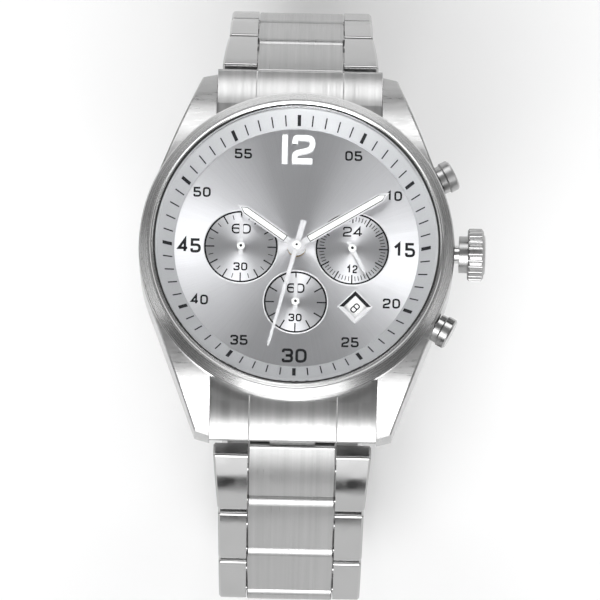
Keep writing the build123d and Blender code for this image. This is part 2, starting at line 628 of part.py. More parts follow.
def balance_wheel():
    body = arbor(BALANCE_AT, ARBOR_R, BRIDGE_Z0 + 0.3, PLATE_Z0 + 0.4)
    outline = Circle(BALANCE_R) - Circle(BALANCE_R - 0.4)
    for i in range(3):
        outline += Rot(0, 0, i * 120 + 15) * Pos(BALANCE_R / 2, 0) * Rectangle(BALANCE_R - 0.3, 0.28)
    body += Pos(*BALANCE_AT, BALANCE_Z) * extrude(outline, 0.3)
    body += disc(0.5, ESCAPE_WHEEL_Z + 0.5, ESCAPE_WHEEL_Z + 0.7, *BALANCE_AT)
    pin = polar(0.38, BALANCE_DIRECTION + 180)
    body += disc(0.09, ESCAPE_WHEEL_Z, ESCAPE_WHEEL_Z + 0.6, BALANCE_AT[0] + pin[0], BALANCE_AT[1] + pin[1])
    return body + Pos(*BALANCE_AT, HAIRSPRING_Z) * extrude(spiral(0.35, 1.9, 6, 0.035) + Circle(0.4), 0.12)


def spiral(r0, r1, turns, half_t):
    """Flat spiral strip for the hairspring."""
    steps = turns * 24
    inner = []
    outer = []
    for i in range(steps + 1):
        radius = r0 + (r1 - r0) * i / steps
        inner.append(polar(radius - half_t, i * 15))
        outer.append(polar(radius + half_t, i * 15))
    return make_face(Polyline(*(inner + outer[::-1]), close=True))


def mainspring_barrel():
    drum_r = BARREL_MODULE * BARREL_TEETH / 2 - 0.35
    body = disc(drum_r, BARREL_Z[0], BARREL_Z[1], *BARREL_AT)
    phase = mesh_phase(CENTRE_PINION, BARREL_DIRECTION, BARREL_DIRECTION, BARREL_TEETH)
    body += gear(BARREL_TEETH, BARREL_MODULE, BARREL_Z[1] - 0.5, BARREL_Z[1], BARREL_AT, phase)
    body -= ring(drum_r - 0.5, 1.2, BARREL_Z[0] - 1, BARREL_Z[0] + 0.25, *BARREL_AT)
    return body + arbor(BARREL_AT, ARBOR_R, BRIDGE_Z0, PLATE_Z0 + 0.4)


def minute_wheel():
    body = arbor(MINUTE_AT, ARBOR_R, POCKET_Z - 0.5, HOUR_WHEEL_Z + 0.3)
    direction = direction_between(CENTRE_AT, MINUTE_AT)
    phase = mesh_phase(CANNON_TEETH, direction, direction, MINUTE_TEETH)
    body += wheel(MINUTE_AT, MINUTE_TEETH, CENTRE_MODULE, MINUTE_WHEEL_Z, phase, 3)
    back = direction + 180
    return body + gear(MINUTE_PINION, HOUR_MODULE, MINUTE_WHEEL_Z + 0.2, HOUR_WHEEL_Z + 0.25, MINUTE_AT, back)


HOUR_PHASE = mesh_phase(MINUTE_PINION, 150 + 180, 150 + 180, HOUR_TEETH)


def hour_wheel():
    body = gear(HOUR_TEETH, HOUR_MODULE, HOUR_WHEEL_Z, HOUR_WHEEL_Z + WHEEL_T, CENTRE_AT, HOUR_PHASE)
    body += arbor(CENTRE_AT, HOUR_PIPE_R, HOUR_WHEEL_Z, HOUR_HAND_Z + HAND_T)
    return body - arbor(CENTRE_AT, CENTRE_TUBE_R + RUN_GAP, 0, 20)


IDLER_PHASE = mesh_phase(HOUR_TEETH, HOUR_PHASE, direction_between(CENTRE_AT, IDLER_AT), IDLER_TEETH)


def day_idler():
    body = arbor(IDLER_AT, ARBOR_R, POCKET_Z - 0.5, HOUR_WHEEL_Z + 0.3)
    return body + gear(IDLER_TEETH, HOUR_MODULE, HOUR_WHEEL_Z - 0.05, HOUR_WHEEL_Z + 0.25, IDLER_AT, IDLER_PHASE)


def day_wheel():
    phase = mesh_phase(IDLER_TEETH, IDLER_PHASE, direction_between(IDLER_AT, DAY_AT), DAY_TEETH)
    body = arbor(DAY_AT, ARBOR_R, POCKET_Z - 0.5, SMALL_HAND_Z + HAND_T)
    return body + wheel(DAY_AT, DAY_TEETH, HOUR_MODULE, HOUR_WHEEL_Z, phase, 4)


def chrono_wheel():
    body = arbor(CENTRE_AT, CHRONO_ARBOR_R, CHRONO_WHEEL_Z, SECONDS_HAND_Z + HAND_T)
    rim = Circle(CHRONO_WHEEL_R) - Circle(CHRONO_WHEEL_R - 0.45)
    for i in range(5):
        rim += Rot(0, 0, i * 72) * Pos(CHRONO_WHEEL_R / 2, 0) * Rectangle(CHRONO_WHEEL_R - 0.4, 0.35)
    body += Pos(0, 0, CHRONO_WHEEL_Z) * extrude(rim + Circle(0.7), 0.14)
    reach = hypot(*COUNTER_IDLER_AT) - COUNTER_MODULE * IDLER_TEETH / 2 - TOOTH_TIP * COUNTER_MODULE - RUN_GAP
    finger = Pos(reach / 2, 0) * Rectangle(reach, 0.24) + Circle(0.5)
    return body + Rot(0, 0, 100) * Pos(0, 0, COUNTER_Z) * extrude(finger, 0.14)


COUNTER_PHASE = mesh_phase(IDLER_TEETH, 0, 180, COUNTER_TEETH)


def counter_idler():
    body = gear(IDLER_TEETH, COUNTER_MODULE, COUNTER_Z, COUNTER_Z + 0.16, COUNTER_IDLER_AT, 0)
    return body - arbor(COUNTER_IDLER_AT, 0.18 + RUN_GAP, 0, 20)


def minute_counter_wheel():
    body = arbor(COUNTER_AT, ARBOR_R, COUNTER_Z - 0.2, SMALL_HAND_Z + HAND_T)
    return body + wheel(COUNTER_AT, COUNTER_TEETH, COUNTER_MODULE, COUNTER_Z, COUNTER_PHASE, 4, 0.16)


def lever_pivot(side):
    return polar(LEVER_PIVOT_R, side * (PUSHER_DIRECTION + LEVER_SPREAD))


def bar_between(start, end, width):
    length = hypot(end[0] - start[0], end[1] - start[1])
    turn = direction_between(start, end)
    bar = Pos(*start) * Rot(0, 0, turn) * Pos(length / 2, 0) * Rectangle(length, width)
    return bar + Pos(*start) * Circle(width / 2) + Pos(*end) * Circle(width / 2)


def pusher_lever(side):
    """Flat lever with an upright tab for the pusher and a nose near the chronograph wheel."""
    pivot = lever_pivot(side)
    direction = side * PUSHER_DIRECTION
    tab = polar(TAB_R + TAB_T / 2, direction)
    nose = polar(NOSE_R, side * (PUSHER_DIRECTION + LEVER_SPREAD - 3))
    flat = bar_between(tab, pivot, 0.9) + bar_between(pivot, nose, 0.7) + Pos(*pivot) * Circle(0.85)
    body = Pos(0, 0, LEVER_Z[0]) * extrude(flat, LEVER_Z[1] - LEVER_Z[0])
    height = STEM_Z + 0.6 - LEVER_Z[0]
    upright = Rot(0, 0, direction) * Pos(TAB_R + TAB_T / 2, 0, LEVER_Z[0] + height / 2) * Box(TAB_T, TAB_W, height)
    return body + upright - disc(0.4 + RUN_GAP, 0, 5, *pivot)


# ---------------------------------------------------------------- hands


def pointed_hand(length, width, tail, hub_r, hole_r, z, at, angle):
    """Baton hand with a pointed tip, pointing at a clock angle."""
    neck = width * 0.32
    shoulder = hub_r + 0.6
    outline = make_face(Polyline(
        (0, -neck), (shoulder, -neck), (shoulder + 0.5, -width / 2), (length - width * 1.1, -width / 2), (length, 0),
        (length - width * 1.1, width / 2), (shoulder + 0.5, width / 2), (shoulder, neck), (0, neck), close=True))
    if tail:
        outline += Pos(-tail / 2, 0) * Rectangle(tail, width * 0.8)
    outline += Circle(hub_r)
    hand = Pos(at[0], at[1], z) * Rot(0, 0, clock(angle)) * extrude(outline, HAND_T)
    return hand - arbor(at, hole_r, 0, 20)


def hour_hand():
    return pointed_hand(HOUR_HAND_L, HAND_W, 0, HAND_HUB_R, HOUR_PIPE_R, HOUR_HAND_Z, CENTRE_AT, HOUR_HAND_ANGLE)


def minute_hand():
    hub = HAND_HUB_R - 0.2
    return pointed_hand(MINUTE_HAND_L, HAND_W, 0, hub, CENTRE_TUBE_R, MINUTE_HAND_Z, CENTRE_AT, MINUTE_HAND_ANGLE)


def chrono_seconds_hand():
    tip, root = 0.17, 0.3
    length = SECONDS_HAND_L
    outline = make_face(Polyline((0, -root), (length - 0.6, -tip), (length, 0), (length - 0.6, tip), (0, root), close=True))
    outline += Pos(-SECONDS_TAIL_L / 2, 0) * Rectangle(SECONDS_TAIL_L, 0.75) + Circle(0.85)
    hand = Pos(0, 0, SECONDS_HAND_Z) * Rot(0, 0, clock(SECONDS_HAND_ANGLE)) * extrude(outline, HAND_T)
    hand += disc(0.6, SECONDS_HAND_Z, SECONDS_HAND_Z + 0.45)
    return hand - arbor(CENTRE_AT, CHRONO_ARBOR_R, 0, SECONDS_HAND_Z + HAND_T)


def small_hand(at, angle, length):
    width = 0.5
    outline = make_face(Polyline(
        (-1.1, -width / 2), (length - 0.9, -width / 2), (length, 0), (length - 0.9, width / 2), (-1.1, width / 2),
        close=True))
    outline += Circle(0.55)
    hand = Pos(at[0], at[1], SMALL_HAND_Z) * Rot(0, 0, clock(angle)) * extrude(outline, HAND_T)
    hand += disc(0.42, SMALL_HAND_Z, SMALL_HAND_Z + 0.28, *at)
    return hand - arbor(at, ARBOR_R, 0, SMALL_HAND_Z + HAND_T)


# ---------------------------------------------------------------- crown and pushers


def crown():
    rim = Circle(CROWN_R)
    for i in range(FLUTE_COUNT):
        x, y = polar(CROWN_R + 0.08, i * 360 / FLUTE_COUNT)
        rim -= Pos(x, y) * Circle(0.26)
    fluted = Pos(0, 0, CROWN_X0) * extrude(rim, CROWN_X1 - CROWN_X0)
    top = CROWN_X1
    shape = turned(
        (0, CROWN_COLLAR_X), (CROWN_COLLAR_R, CROWN_COLLAR_X), (CROWN_COLLAR_R, CROWN_X0), (CROWN_R - 0.25, CROWN_X0),
        (CROWN_R, CROWN_X0 + 0.25), (CROWN_R, top - 0.55), (CROWN_R - 0.35, top - 0.25), (CROWN_R - 0.8, top - 0.18),
        (CROWN_R - 1.0, top - 0.05), (0, top),
    )
    collar = disc(CROWN_COLLAR_R, CROWN_COLLAR_X, CROWN_X0)
    body = (fluted & shape) + collar
    body -= disc(TUBE_R + RUN_GAP, CROWN_COLLAR_X - 1, CROWN_X0 + 0.5)
    body -= disc(STEM_R, CROWN_COLLAR_X - 1, CROWN_X0 + 1.2)
    return along_x(body, 0, STEM_Z)


def winding_stem():
    stem = disc(STEM_R, STEM_END, CROWN_X0 + 1.2)
    stem -= ring(STEM_R + 1, STEM_R - 0.18, STEM_END + 0.7, STEM_END + 1.3)
    return along_x(stem, 0, STEM_Z)


def case_tubes():
    crown_tube = along_x(ring(TUBE_R, STEM_R + 0.06, CASE_BORE_R + 0.15, CROWN_X0 + 0.35), 0, STEM_Z)
    parts = [crown_tube]
    for side in (-1, 1):
        tube = ring(PUSHER_TUBE_R, PUSHER_STEM_R + RUN_GAP, CASE_BORE_R + 0.15, CASE_R - 0.75)
        parts.append(along_x(tube, side * PUSHER_DIRECTION, STEM_Z))
    return Compound(parts)


def pusher(side):
    cap_z = PUSHER_TIP - PUSHER_CAP_L
    body = disc(PUSHER_CAP_R, cap_z, PUSHER_TIP)
    body = chamfer(body.edges().filter_by(GeomType.CIRCLE), 0.22)
    body += disc(PUSHER_COLLAR_R, cap_z - PUSHER_COLLAR_L, cap_z + 0.3)
    body += disc(PUSHER_STEM_R, TAB_R + TAB_T + 0.1, cap_z)
    return along_x(body, side * PUSHER_DIRECTION, STEM_Z)


# ---------------------------------------------------------------- bracelet


def bracelet_path():
    """Pivots from the lug to the clasp, as (Y, Z) points on the 12 o'clock side."""
    points = [FIRST_PIVOT]
    for i, slope in enumerate(LINK_ANGLES):
        pitch = FIRST_PITCH if i == 0 else LINK_PITCH
        y, z = points[-1]
        points.append((y + pitch * cos(radians(slope)), z - pitch * sin(radians(slope))))
    return points


PATH = bracelet_path()
END_R = LINK_T / 2
CLASP_PIVOT = PATH[-1]


def side_piece(points, x0, x1):
    """A profile of (s, t) points, s along the link and t outwards, thickened from x0 to x1."""
    outline = make_face(Polyline(*[(0, s, t) for s, t in points], close=True))
    return Pos(x0, 0, 0) * extrude(outline, x1 - x0, dir=(1, 0, 0))


def side_face(*steps):
    """Closed side view from a start point, then points to go straight to or (via, end) pairs for arcs."""
    here = first = steps[0]
    edges = []
    for step in steps[1:] + (first,):
        via, there = step if isinstance(step[0], tuple) else (None, step)
        spots = [(0, *spot) for spot in (here, via, there) if spot]
        if there != here:
            edges.append(ThreePointArc(*spots) if via else Line(*spots))
        here = there
    return make_face(Wire(edges))


def backwards(steps):
    """The same way from its last point to its first."""
    pairs = [step if isinstance(step[0], tuple) else (None, step) for step in steps]
    back = [pairs[-1][1]]
    for (via, _), (_, there) in zip(reversed(pairs), reversed(pairs[:-1])):
        back.append((via, there) if via else there)
    return back


def link_side(s0, s1, start, finish, pitch):
    """Side view of one piece of a link. Each end is round or hollow about its pivot, or square."""
    edge = LINK_EDGE_OUT
    hollow_r = END_R + END_GAP
    top = END_R + LINK_BOW
    corner_t = END_R / 2 + 0.1

    def rounding(kind, end, way):
        """Centre along the link and radius of the rounding between this end and the bowed face."""
        if kind == "round":
            return end - way * END_R, END_R
        if kind == "hollow":
            end = (pitch if way > 0 else 0) - way * sqrt(hollow_r**2 - corner_t**2)
        return end - way * edge, edge

    start_s, start_r = rounding(start, s0, -1)
    finish_s, finish_r = rounding(finish, s1, 1)
    middle = (start_s + finish_s) / 2
    half = (finish_s - start_s) / 2
    small_r = END_R if "round" in (start, finish) else edge
    rise = top - END_R + small_r
    bow_r = (half**2 + rise**2 - small_r**2) / (2 * (rise - small_r))
    bow_t = top - bow_r

    def touch(spot, radius):
        height = bow_t + sqrt((bow_r - radius) ** 2 - (spot - middle) ** 2)
        reach = bow_r / (bow_r - radius)
        return height, (middle + (spot - middle) * reach, bow_t + (height - bow_t) * reach)

    def end_steps(kind, end, way, spot, radius, height, meet):
        """From the inner face to the point where the bowed face begins."""
        if kind == "round":
            centre = end - way * END_R
            return [(centre, -END_R), ((end, 0.0), meet)]
        slant = radians(45)
        via = (spot + way * radius * cos(slant), height + radius * sin(slant))
        if kind == "square":
            foot = [(end - way * LINK_EDGE_IN, -END_R), (end, -END_R + LINK_EDGE_IN), (end, height)]
            return foot + [(via, meet)]
        pivot = pitch if way > 0 else 0.0
        low_t = -END_R * 0.6
        low = (pivot - way * sqrt(hollow_r**2 - low_t**2), low_t)
        high = (pivot - way * sqrt(hollow_r**2 - corner_t**2), corner_t)
        foot = [(low[0] - way * (END_R + low_t), -END_R), low, ((pivot - way * hollow_r, 0.0), high)]
        return foot + [(spot + way * radius, height), (via, meet)]

    start_t, start_meet = touch(start_s, start_r)
    finish_t, finish_meet = touch(finish_s, finish_r)
    begin = end_steps(start, s0, -1, start_s, start_r, start_t, start_meet)
    close = backwards(end_steps(finish, s1, 1, finish_s, finish_r, finish_t, finish_meet))
    return side_face(*begin, ((middle, top), finish_meet), *close[1:])


def link_piece(x0, x1, *side):
    return Pos(x0, 0, 0) * extrude(link_side(*side), x1 - x0, dir=(1, 0, 0))


def width_at(index, share):
    """Bracelet width along the links, narrowing from the lugs to the clasp."""
    if index == 0:
        return FIRST_WIDTHS[0] + (FIRST_WIDTHS[1] - FIRST_WIDTHS[0]) * share
    count = len(LINK_ANGLES) - 1
    place = (index - 1 + share) / count
    return FIRST_WIDTHS[1] + (LAST_WIDTH - FIRST_WIDTHS[1]) * place


def link(index, last):
    """One link in its own frame: s along +Y from its first pivot, outer face towards +Z."""
    first = index == 0
    pitch = FIRST_PITCH if first else LINK_PITCH
    half = CENTRE_W / 2
    near = END_R + FIRST_GAP if first else -END_R
    far = pitch + END_R if last else pitch - END_R - END_GAP
    middle = link_piece(-half, half, near, far, "square" if first else "round", "round" if last else "hollow", pitch)
    sides = middle.faces().sort_by(Axis.X)
    middle = chamfer(sides[0].edges() + sides[-1].edges(), LINK_ROW_EDGE)
    outer_near = OUTER_START if first else END_R + END_GAP
    outer_far = pitch + END_R
    block = link_piece(half + SIDE_GAP, CASE_R, outer_near, outer_far, "square" if first else "hollow", "round", pitch)
    w0 = width_at(index, 0) / 2
    w1 = width_at(index, 1) / 2
    taper = make_face(Polyline((0, -5), (w0, -5), (w0, outer_near - 0.5), (w1, outer_far), (0, outer_far + 1), close=True))
    outer = block & (Pos(0, 0, -2 * END_R) * extrude(taper, 2 * LINK_T))
    outer = chamfer(outer.faces().sort_by(Axis.X)[-1].edges(), LINK_SIDE_EDGE)
    rod_at = (outer_near + far) / 2
    rod = Pos(0, rod_at, -0.1) * Rot(0, 90, 0) * Cylinder(0.7, CENTRE_W + 2)
    body = middle + outer + mirror(outer, Plane.YZ) + rod
    if first:
        reach = END_R + FIRST_GAP + 1
        tongue = Pos(0, reach / 2, 0) * Box(6.0, reach, 1.6) + Rot(0, 90, 0) * Cylinder(0.8, 6.0)
        body += tongue
    pin_holes = Rot(0, 90, 0) * Cylinder(PIN_HOLE_R, 2 * CASE_R)
    body -= pin_holes
    if last or index == len(LINK_ANGLES) - 1:
        return body - Pos(0, pitch, 0) * pin_holes
    pin_l = 2 * w1 - 0.5
    body -= Pos(0, pitch, 0) * pin_holes
    return body + Pos(0, pitch, 0) * Rot(0, 90, 0) * Cylinder(PIN_R, pin_l) + pin_collars(pitch, half)


def pin_collars(pitch, half):
    """Grips that hold the pin in the two outer pieces."""
    collar = Cylinder(PIN_HOLE_R + 0.1, 0.6) - Cylinder(PIN_R - 0.05, 0.6)
    turned_collar = Rot(0, 90, 0) * collar
    return Pos(half + 1.4, pitch, 0) * turned_collar + Pos(-half - 1.4, pitch, 0) * turned_collar


def placed_link(index, side):
    y, z = PATH[index]
    last = side > 0 and index == len(LINK_ANGLES) - 1
    body = Pos(0, y, z) * Rot(-LINK_ANGLES[index], 0, 0) * link(index, last)
    return body if side > 0 else mirror(body, Plane.XZ)


def end_link(side):
    y, z = FIRST_PIVOT
    lip = END_R + 0.02
    profile = side_face(
        (END_LINK_Y, z - 1.15), (END_LINK_Y, z + 2.2), (END_LINK_Y + 0.35, z + 2.55), (y - 3.3, z + 2.55),
        ((y - 0.9, z + 2.2), (y + 1.5, z + 1.28)), ((y + 1.78, z + 1.02), (y + 1.7, z + 0.66)),
        (y + lip * cos(radians(8)), z + lip * sin(radians(8))),
        ((y + lip * cos(radians(-35)), z + lip * sin(radians(-35))), (y + lip * cos(radians(-60)), z - lip * sin(radians(60)))),
    )
    half = LUG_SLOT / 2 - 0.07
    body = Pos(-half, 0, 0) * extrude(profile, 2 * half, dir=(1, 0, 0))
    body -= disc(SLOT_WALL_R + 0.06, -10, 20)
    body -= ring(SLOT_WALL_R + 0.35, SLOT_WALL_R - 1, z + 2.3, 20)
    tongue_r = 0.8
    cut = Rot(0, 90, 0) * Cylinder(tongue_r + 0.1, 6.2)
    steep = radians(62)
    shallow = radians(18)
    over = tongue_r + 0.1
    wedge = [
        (0, 0), (over * sin(shallow), over * cos(shallow)),
        (over * sin(shallow) + 4 * cos(shallow), over * cos(shallow) - 4 * sin(shallow)),
        (4 * cos(steep) - over * sin(steep), -4 * sin(steep) - over * cos(steep)),
        (-over * sin(steep), -over * cos(steep)),
    ]
    body -= Pos(0, y, z) * (cut + side_piece(wedge, -3.1, 3.1))
    body -= Pos(0, y, z) * Rot(0, 90, 0) * Cylinder(PIN_R, 2 * CASE_R)
    for sign in (-1, 1):
        x = sign * (CENTRE_W / 2 + SIDE_GAP / 2)
        body -= Pos(x, y, z + 2.95) * Rot(-16, 0, 0) * Box(SIDE_GAP, 12, 3.4)
    return body if side > 0 else mirror(body, Plane.XZ)


def spring_bars():
    y, z = FIRST_PIVOT
    bar = Rot(0, 90, 0) * Cylinder(PIN_R, LUG_SLOT + 2.0)
    return Compound([Pos(0, y, z) * bar, Pos(0, -y, z) * bar])


# ---------------------------------------------------------------- clasp
FLOOR_Z = CLASP_PIVOT[1] - COVER_SINK        # outer face of the cover
COVER_Y1 = CLASP_PIVOT[0] + COVER_LEAD
COVER_Y0 = COVER_Y1 - COVER_L
HINGE_A = (CLASP_PIVOT[0] - COVER_HINGE_REACH, FLOOR_Z + COVER_T + HINGE_R + 0.12)
HINGE_B = (CLASP_PIVOT[0] - LEAF_HINGE_REACH, HINGE_A[1] + 0.6)
LONG_LEAF_Z = HINGE_A[1] - HINGE_R + 0.2
SHORT_LEAF_Z = HINGE_A[1] + HINGE_R + 0.15


def cylinder_x(radius, length, y, z, x=0.0):
    return Pos(x, y, z) * Rot(0, 90, 0) * Cylinder(radius, length)


def clasp_cover():
    height = COVER_H
    middle_y = (COVER_Y0 + COVER_Y1) / 2
    shell = Pos(0, middle_y, FLOOR_Z + height / 2) * Box(COVER_W, COVER_L, height)
    low = shell.edges().filter_by(Axis.Y).group_by(Axis.Z)[0]
    shell = fillet(low, COVER_EDGE * 1.6)
    ends = shell.faces().sort_by(Axis.Z)[0].edges().filter_by(Axis.X)
    shell = fillet(ends, COVER_EDGE)
    inside = Pos(0, middle_y, FLOOR_Z + COVER_T + height / 2) * Box(COVER_W - 2 * COVER_T, COVER_L + 1, height)
    shell -= inside
    slope = side_piece([(-1, 1.9), (COVER_L / 2 - 9, 1.9), (COVER_L / 2 + 1, 4.0), (COVER_L / 2 + 1, 9), (-1, 9)], -20, 20)
    shell -= Pos(0, middle_y, FLOOR_Z + COVER_T) * mirror(slope, Plane.XZ)
    for i in range(4):
        shell -= cylinder_x(PIN_R, COVER_W + 2, CLASP_PIVOT[0] - 3.0 * i, CLASP_PIVOT[1])
    bar = cylinder_x(PIN_R, COVER_W - 0.3, *CLASP_PIVOT)
    shell += bar
    ear_z = (HINGE_A[1] + FLOOR_Z + COVER_T) / 2
    for sign in (-1, 1):
        x = sign * (LEAF_W / 2 + 0.15 + 0.6)
        ear = cylinder_x(HINGE_R, 1.2, *HINGE_A, x)
        ear += Pos(x, HINGE_A[0], ear_z - 0.1) * Box(1.2, 2 * HINGE_R, HINGE_A[1] - FLOOR_Z - COVER_T + 0.2)
        shell += ear
    return shell + cylinder_x(PIN_R, LEAF_W + 1.5, *HINGE_A)


def long_leaf():
    length = HINGE_B[0] - HINGE_A[0]
    flat = Pos(0, HINGE_A[0] + length / 2, LONG_LEAF_Z + LEAF_T / 2) * Box(LEAF_W, length, LEAF_T)
    flat -= Pos(0, HINGE_B[0], LONG_LEAF_Z) * Box(LEAF_W / 2 + 0.3, 2.4 * HINGE_R, 6)
    body = flat + cylinder_x(HINGE_R, LEAF_W, *HINGE_A)
    for sign in (-1, 1):
        x = sign * (LEAF_W / 4 + 0.15 + LEAF_W / 8 - 0.075)
        body += cylinder_x(HINGE_R, LEAF_W / 4 - 0.15, *HINGE_B, x)
    body -= cylinder_x(PIN_HOLE_R, LEAF_W + 4, *HINGE_A)
    body -= cylinder_x(PIN_R, LEAF_W + 4, *HINGE_B)
    return body + cylinder_x(PIN_R, LEAF_W - 0.2, *HINGE_B)


def short_leaf():
    y_end = -CLASP_PIVOT[0]
    start = HINGE_B[0]
    finish = y_end + HINGE_R + 0.3
    flat = Pos(0, (start + finish) / 2, SHORT_LEAF_Z + LEAF_T / 2) * Box(LEAF_W, start - finish, LEAF_T)
    flat -= Pos(0, HINGE_B[0] + 0.2, SHORT_LEAF_Z) * Box(LEAF_W + 1, 2.3 * HINGE_R, 6)
    body = flat + cylinder_x(HINGE_R, LEAF_W / 2, *HINGE_B)
    neck_top = SHORT_LEAF_Z + LEAF_T
    neck = [(HINGE_B[0], HINGE_B[1]), (HINGE_B[0], neck_top - 0.3), (HINGE_B[0] - 0.4, neck_top)]
    neck += [(HINGE_B[0] - 1.6, neck_top), (HINGE_B[0] - 1.6, SHORT_LEAF_Z), (HINGE_B[0] - HINGE_R, HINGE_B[1])]
    body += side_piece(neck, -LEAF_W / 4, LEAF_W / 4)
    tip = [(finish + 0.5, SHORT_LEAF_Z), (finish + 0.5, neck_top), (finish - 0.4, neck_top)]
    tip += [(y_end, CLASP_PIVOT[1] + HINGE_R), (y_end, CLASP_PIVOT[1])]
    body += side_piece(tip, -LEAF_W / 2, LEAF_W / 2) + cylinder_x(HINGE_R, LEAF_W, y_end, CLASP_PIVOT[1])
    body -= cylinder_x(PIN_HOLE_R, LEAF_W + 4, *HINGE_B)
    return body + cylinder_x(PIN_R, CENTRE_W - 2.0, y_end, CLASP_PIVOT[1])


# ---------------------------------------------------------------- export
NODES = {
    "case_middle": case_middle,
    "bezel": bezel,
    "crystal": crystal,
    "crystal_gasket": lambda: ring(CRYSTAL_R + 0.25, CRYSTAL_R + FIT_GAP, CRYSTAL_Z0, BEZEL_TOP_Z - 0.25),
    "flange_ring": flange_ring,
    "dial": dial,
    "date_ring": date_ring,
    "case_back": case_back,
    "movement_ring": movement_ring,
    "case_tubes": case_tubes,
    "crown": crown,
    "winding_stem": winding_stem,
    "pusher_start": lambda: pusher(1),
    "pusher_reset": lambda: pusher(-1),
    "start_lever": lambda: pusher_lever(1),
    "reset_lever": lambda: pusher_lever(-1),
    "main_plate": main_plate,
    "train_bridge": train_bridge,
    "balance_cock": balance_cock,
    "jewels": jewels,
    "mainspring_barrel": mainspring_barrel,
    "centre_wheel": centre_wheel,
    "third_wheel": third_wheel,
    "fourth_wheel": fourth_wheel,
    "escape_wheel": escape_wheel,
    "pallet_fork": pallet_fork,
    "balance_wheel": balance_wheel,
    "minute_wheel": minute_wheel,
    "hour_wheel": hour_wheel,
    "day_idler": day_idler,
    "day_wheel": day_wheel,
    "chrono_wheel": chrono_wheel,
    "counter_idler": counter_idler,
    "minute_counter_wheel": minute_counter_wheel,
    "hour_hand": hour_hand,
    "minute_hand": minute_hand,
    "chrono_seconds_hand": chrono_seconds_hand,
    "minute_counter_hand": lambda: small_hand(COUNTER_AT, 0, SMALL_HAND_L),
    "day_hand": lambda: small_hand(DAY_AT, DAY_HAND_ANGLE, SMALL_HAND_L),
    "small_seconds_hand": lambda: small_hand(FOURTH_AT, 0, SMALL_HAND_L - 0.7),
    "spring_bars": spring_bars,
    "end_link_12": lambda: end_link(1),
    "end_link_6": lambda: end_link(-1),
    "clasp_cover": clasp_cover,
    "clasp_long_leaf": long_leaf,
    "clasp_short_leaf": short_leaf,
}
for number in range(len(LINK_ANGLES)):
    NODES[f"link_12_{number + 1}"] = lambda number=number: placed_link(number, 1)
    NODES[f"link_6_{number + 1}"] = lambda number=number: placed_link(number, -1)

os.makedirs("parts", exist_ok=True)
for name, build in NODES.items():
    export_step(build(), f"parts/{name}.step")
print("pivots:", [(round(y, 3), round(z, 3)) for y, z in PATH])
print("clasp:", FLOOR_Z, HINGE_A, HINGE_B)
print("movement:", THIRD_AT, ESCAPE_AT, PALLET_AT, BALANCE_AT, BARREL_AT, MINUTE_AT, IDLER_AT, lever_pivot(1))
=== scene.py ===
"""Wrist chronograph on a steel bracelet: finishes, dial printing, hands' inlays and studio."""

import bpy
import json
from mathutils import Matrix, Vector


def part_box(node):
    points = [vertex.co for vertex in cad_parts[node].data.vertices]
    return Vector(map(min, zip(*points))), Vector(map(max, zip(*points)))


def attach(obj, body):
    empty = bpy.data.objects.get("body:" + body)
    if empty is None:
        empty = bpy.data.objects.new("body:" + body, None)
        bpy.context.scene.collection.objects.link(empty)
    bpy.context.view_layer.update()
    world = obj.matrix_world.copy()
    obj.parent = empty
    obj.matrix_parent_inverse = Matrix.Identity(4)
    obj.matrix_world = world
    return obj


bl_info = {
    "name": "Wrist chronograph looks",
    "version": (1, 0, 0),
    "blender": (4, 5, 0),
    "location": "View3D > Sidebar > Watch",
    "description": "Finishes, dial printing, date numbers and luminous inlays for a packed wrist chronograph",
    "category": "Object",
}

import json
from math import atan2, cos, hypot, pi, radians, sin

import bpy
from bpy.props import FloatProperty, FloatVectorProperty, IntProperty, PointerProperty
from mathutils import Matrix, Vector

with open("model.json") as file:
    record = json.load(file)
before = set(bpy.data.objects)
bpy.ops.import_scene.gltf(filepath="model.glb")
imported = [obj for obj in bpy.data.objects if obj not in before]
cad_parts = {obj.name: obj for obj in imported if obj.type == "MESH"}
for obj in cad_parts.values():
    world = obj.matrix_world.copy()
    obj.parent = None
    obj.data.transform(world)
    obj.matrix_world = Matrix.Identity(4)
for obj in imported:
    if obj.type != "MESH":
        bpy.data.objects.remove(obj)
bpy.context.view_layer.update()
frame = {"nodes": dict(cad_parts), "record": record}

MM = 0.001
CASE = "watch_case"

# Sizes that follow the CAD nodes, in millimetres
DIAL_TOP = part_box("dial")[1][2] / MM
DATE_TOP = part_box("date_ring")[1][2] / MM
FLOOR_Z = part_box("clasp_cover")[0][2]
FLANGE_FOOT = (16.25, DIAL_TOP + 0.28)
FLANGE_RIM = (18.25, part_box("flange_ring")[1][2] / MM - 0.15)
PRINT_T = 0.02                # thickness of printed ink
TWELVE_H = 3.2                # pen height of the applied 12
TWELVE_Y = 13.45              # height of the applied 12 above the dial's centre
DATE_REACH = 11.2             # centre of the date window from the dial's centre
DATE_TURN = -45               # degrees from 3 o'clock to the date window
TRACK_NEAR, TRACK_FAR = 16.55, 17.78  # ends of the minute marks
SUBDIAL_SINK = 0.12
SUBDIALS = {"counter": ((-7.4, 0.0), 4.9), "day": ((7.4, 0.0), 4.9), "seconds": ((0.0, -7.4), 4.2)}


# ---------------------------------------------------------------- sizes and colours a user may change


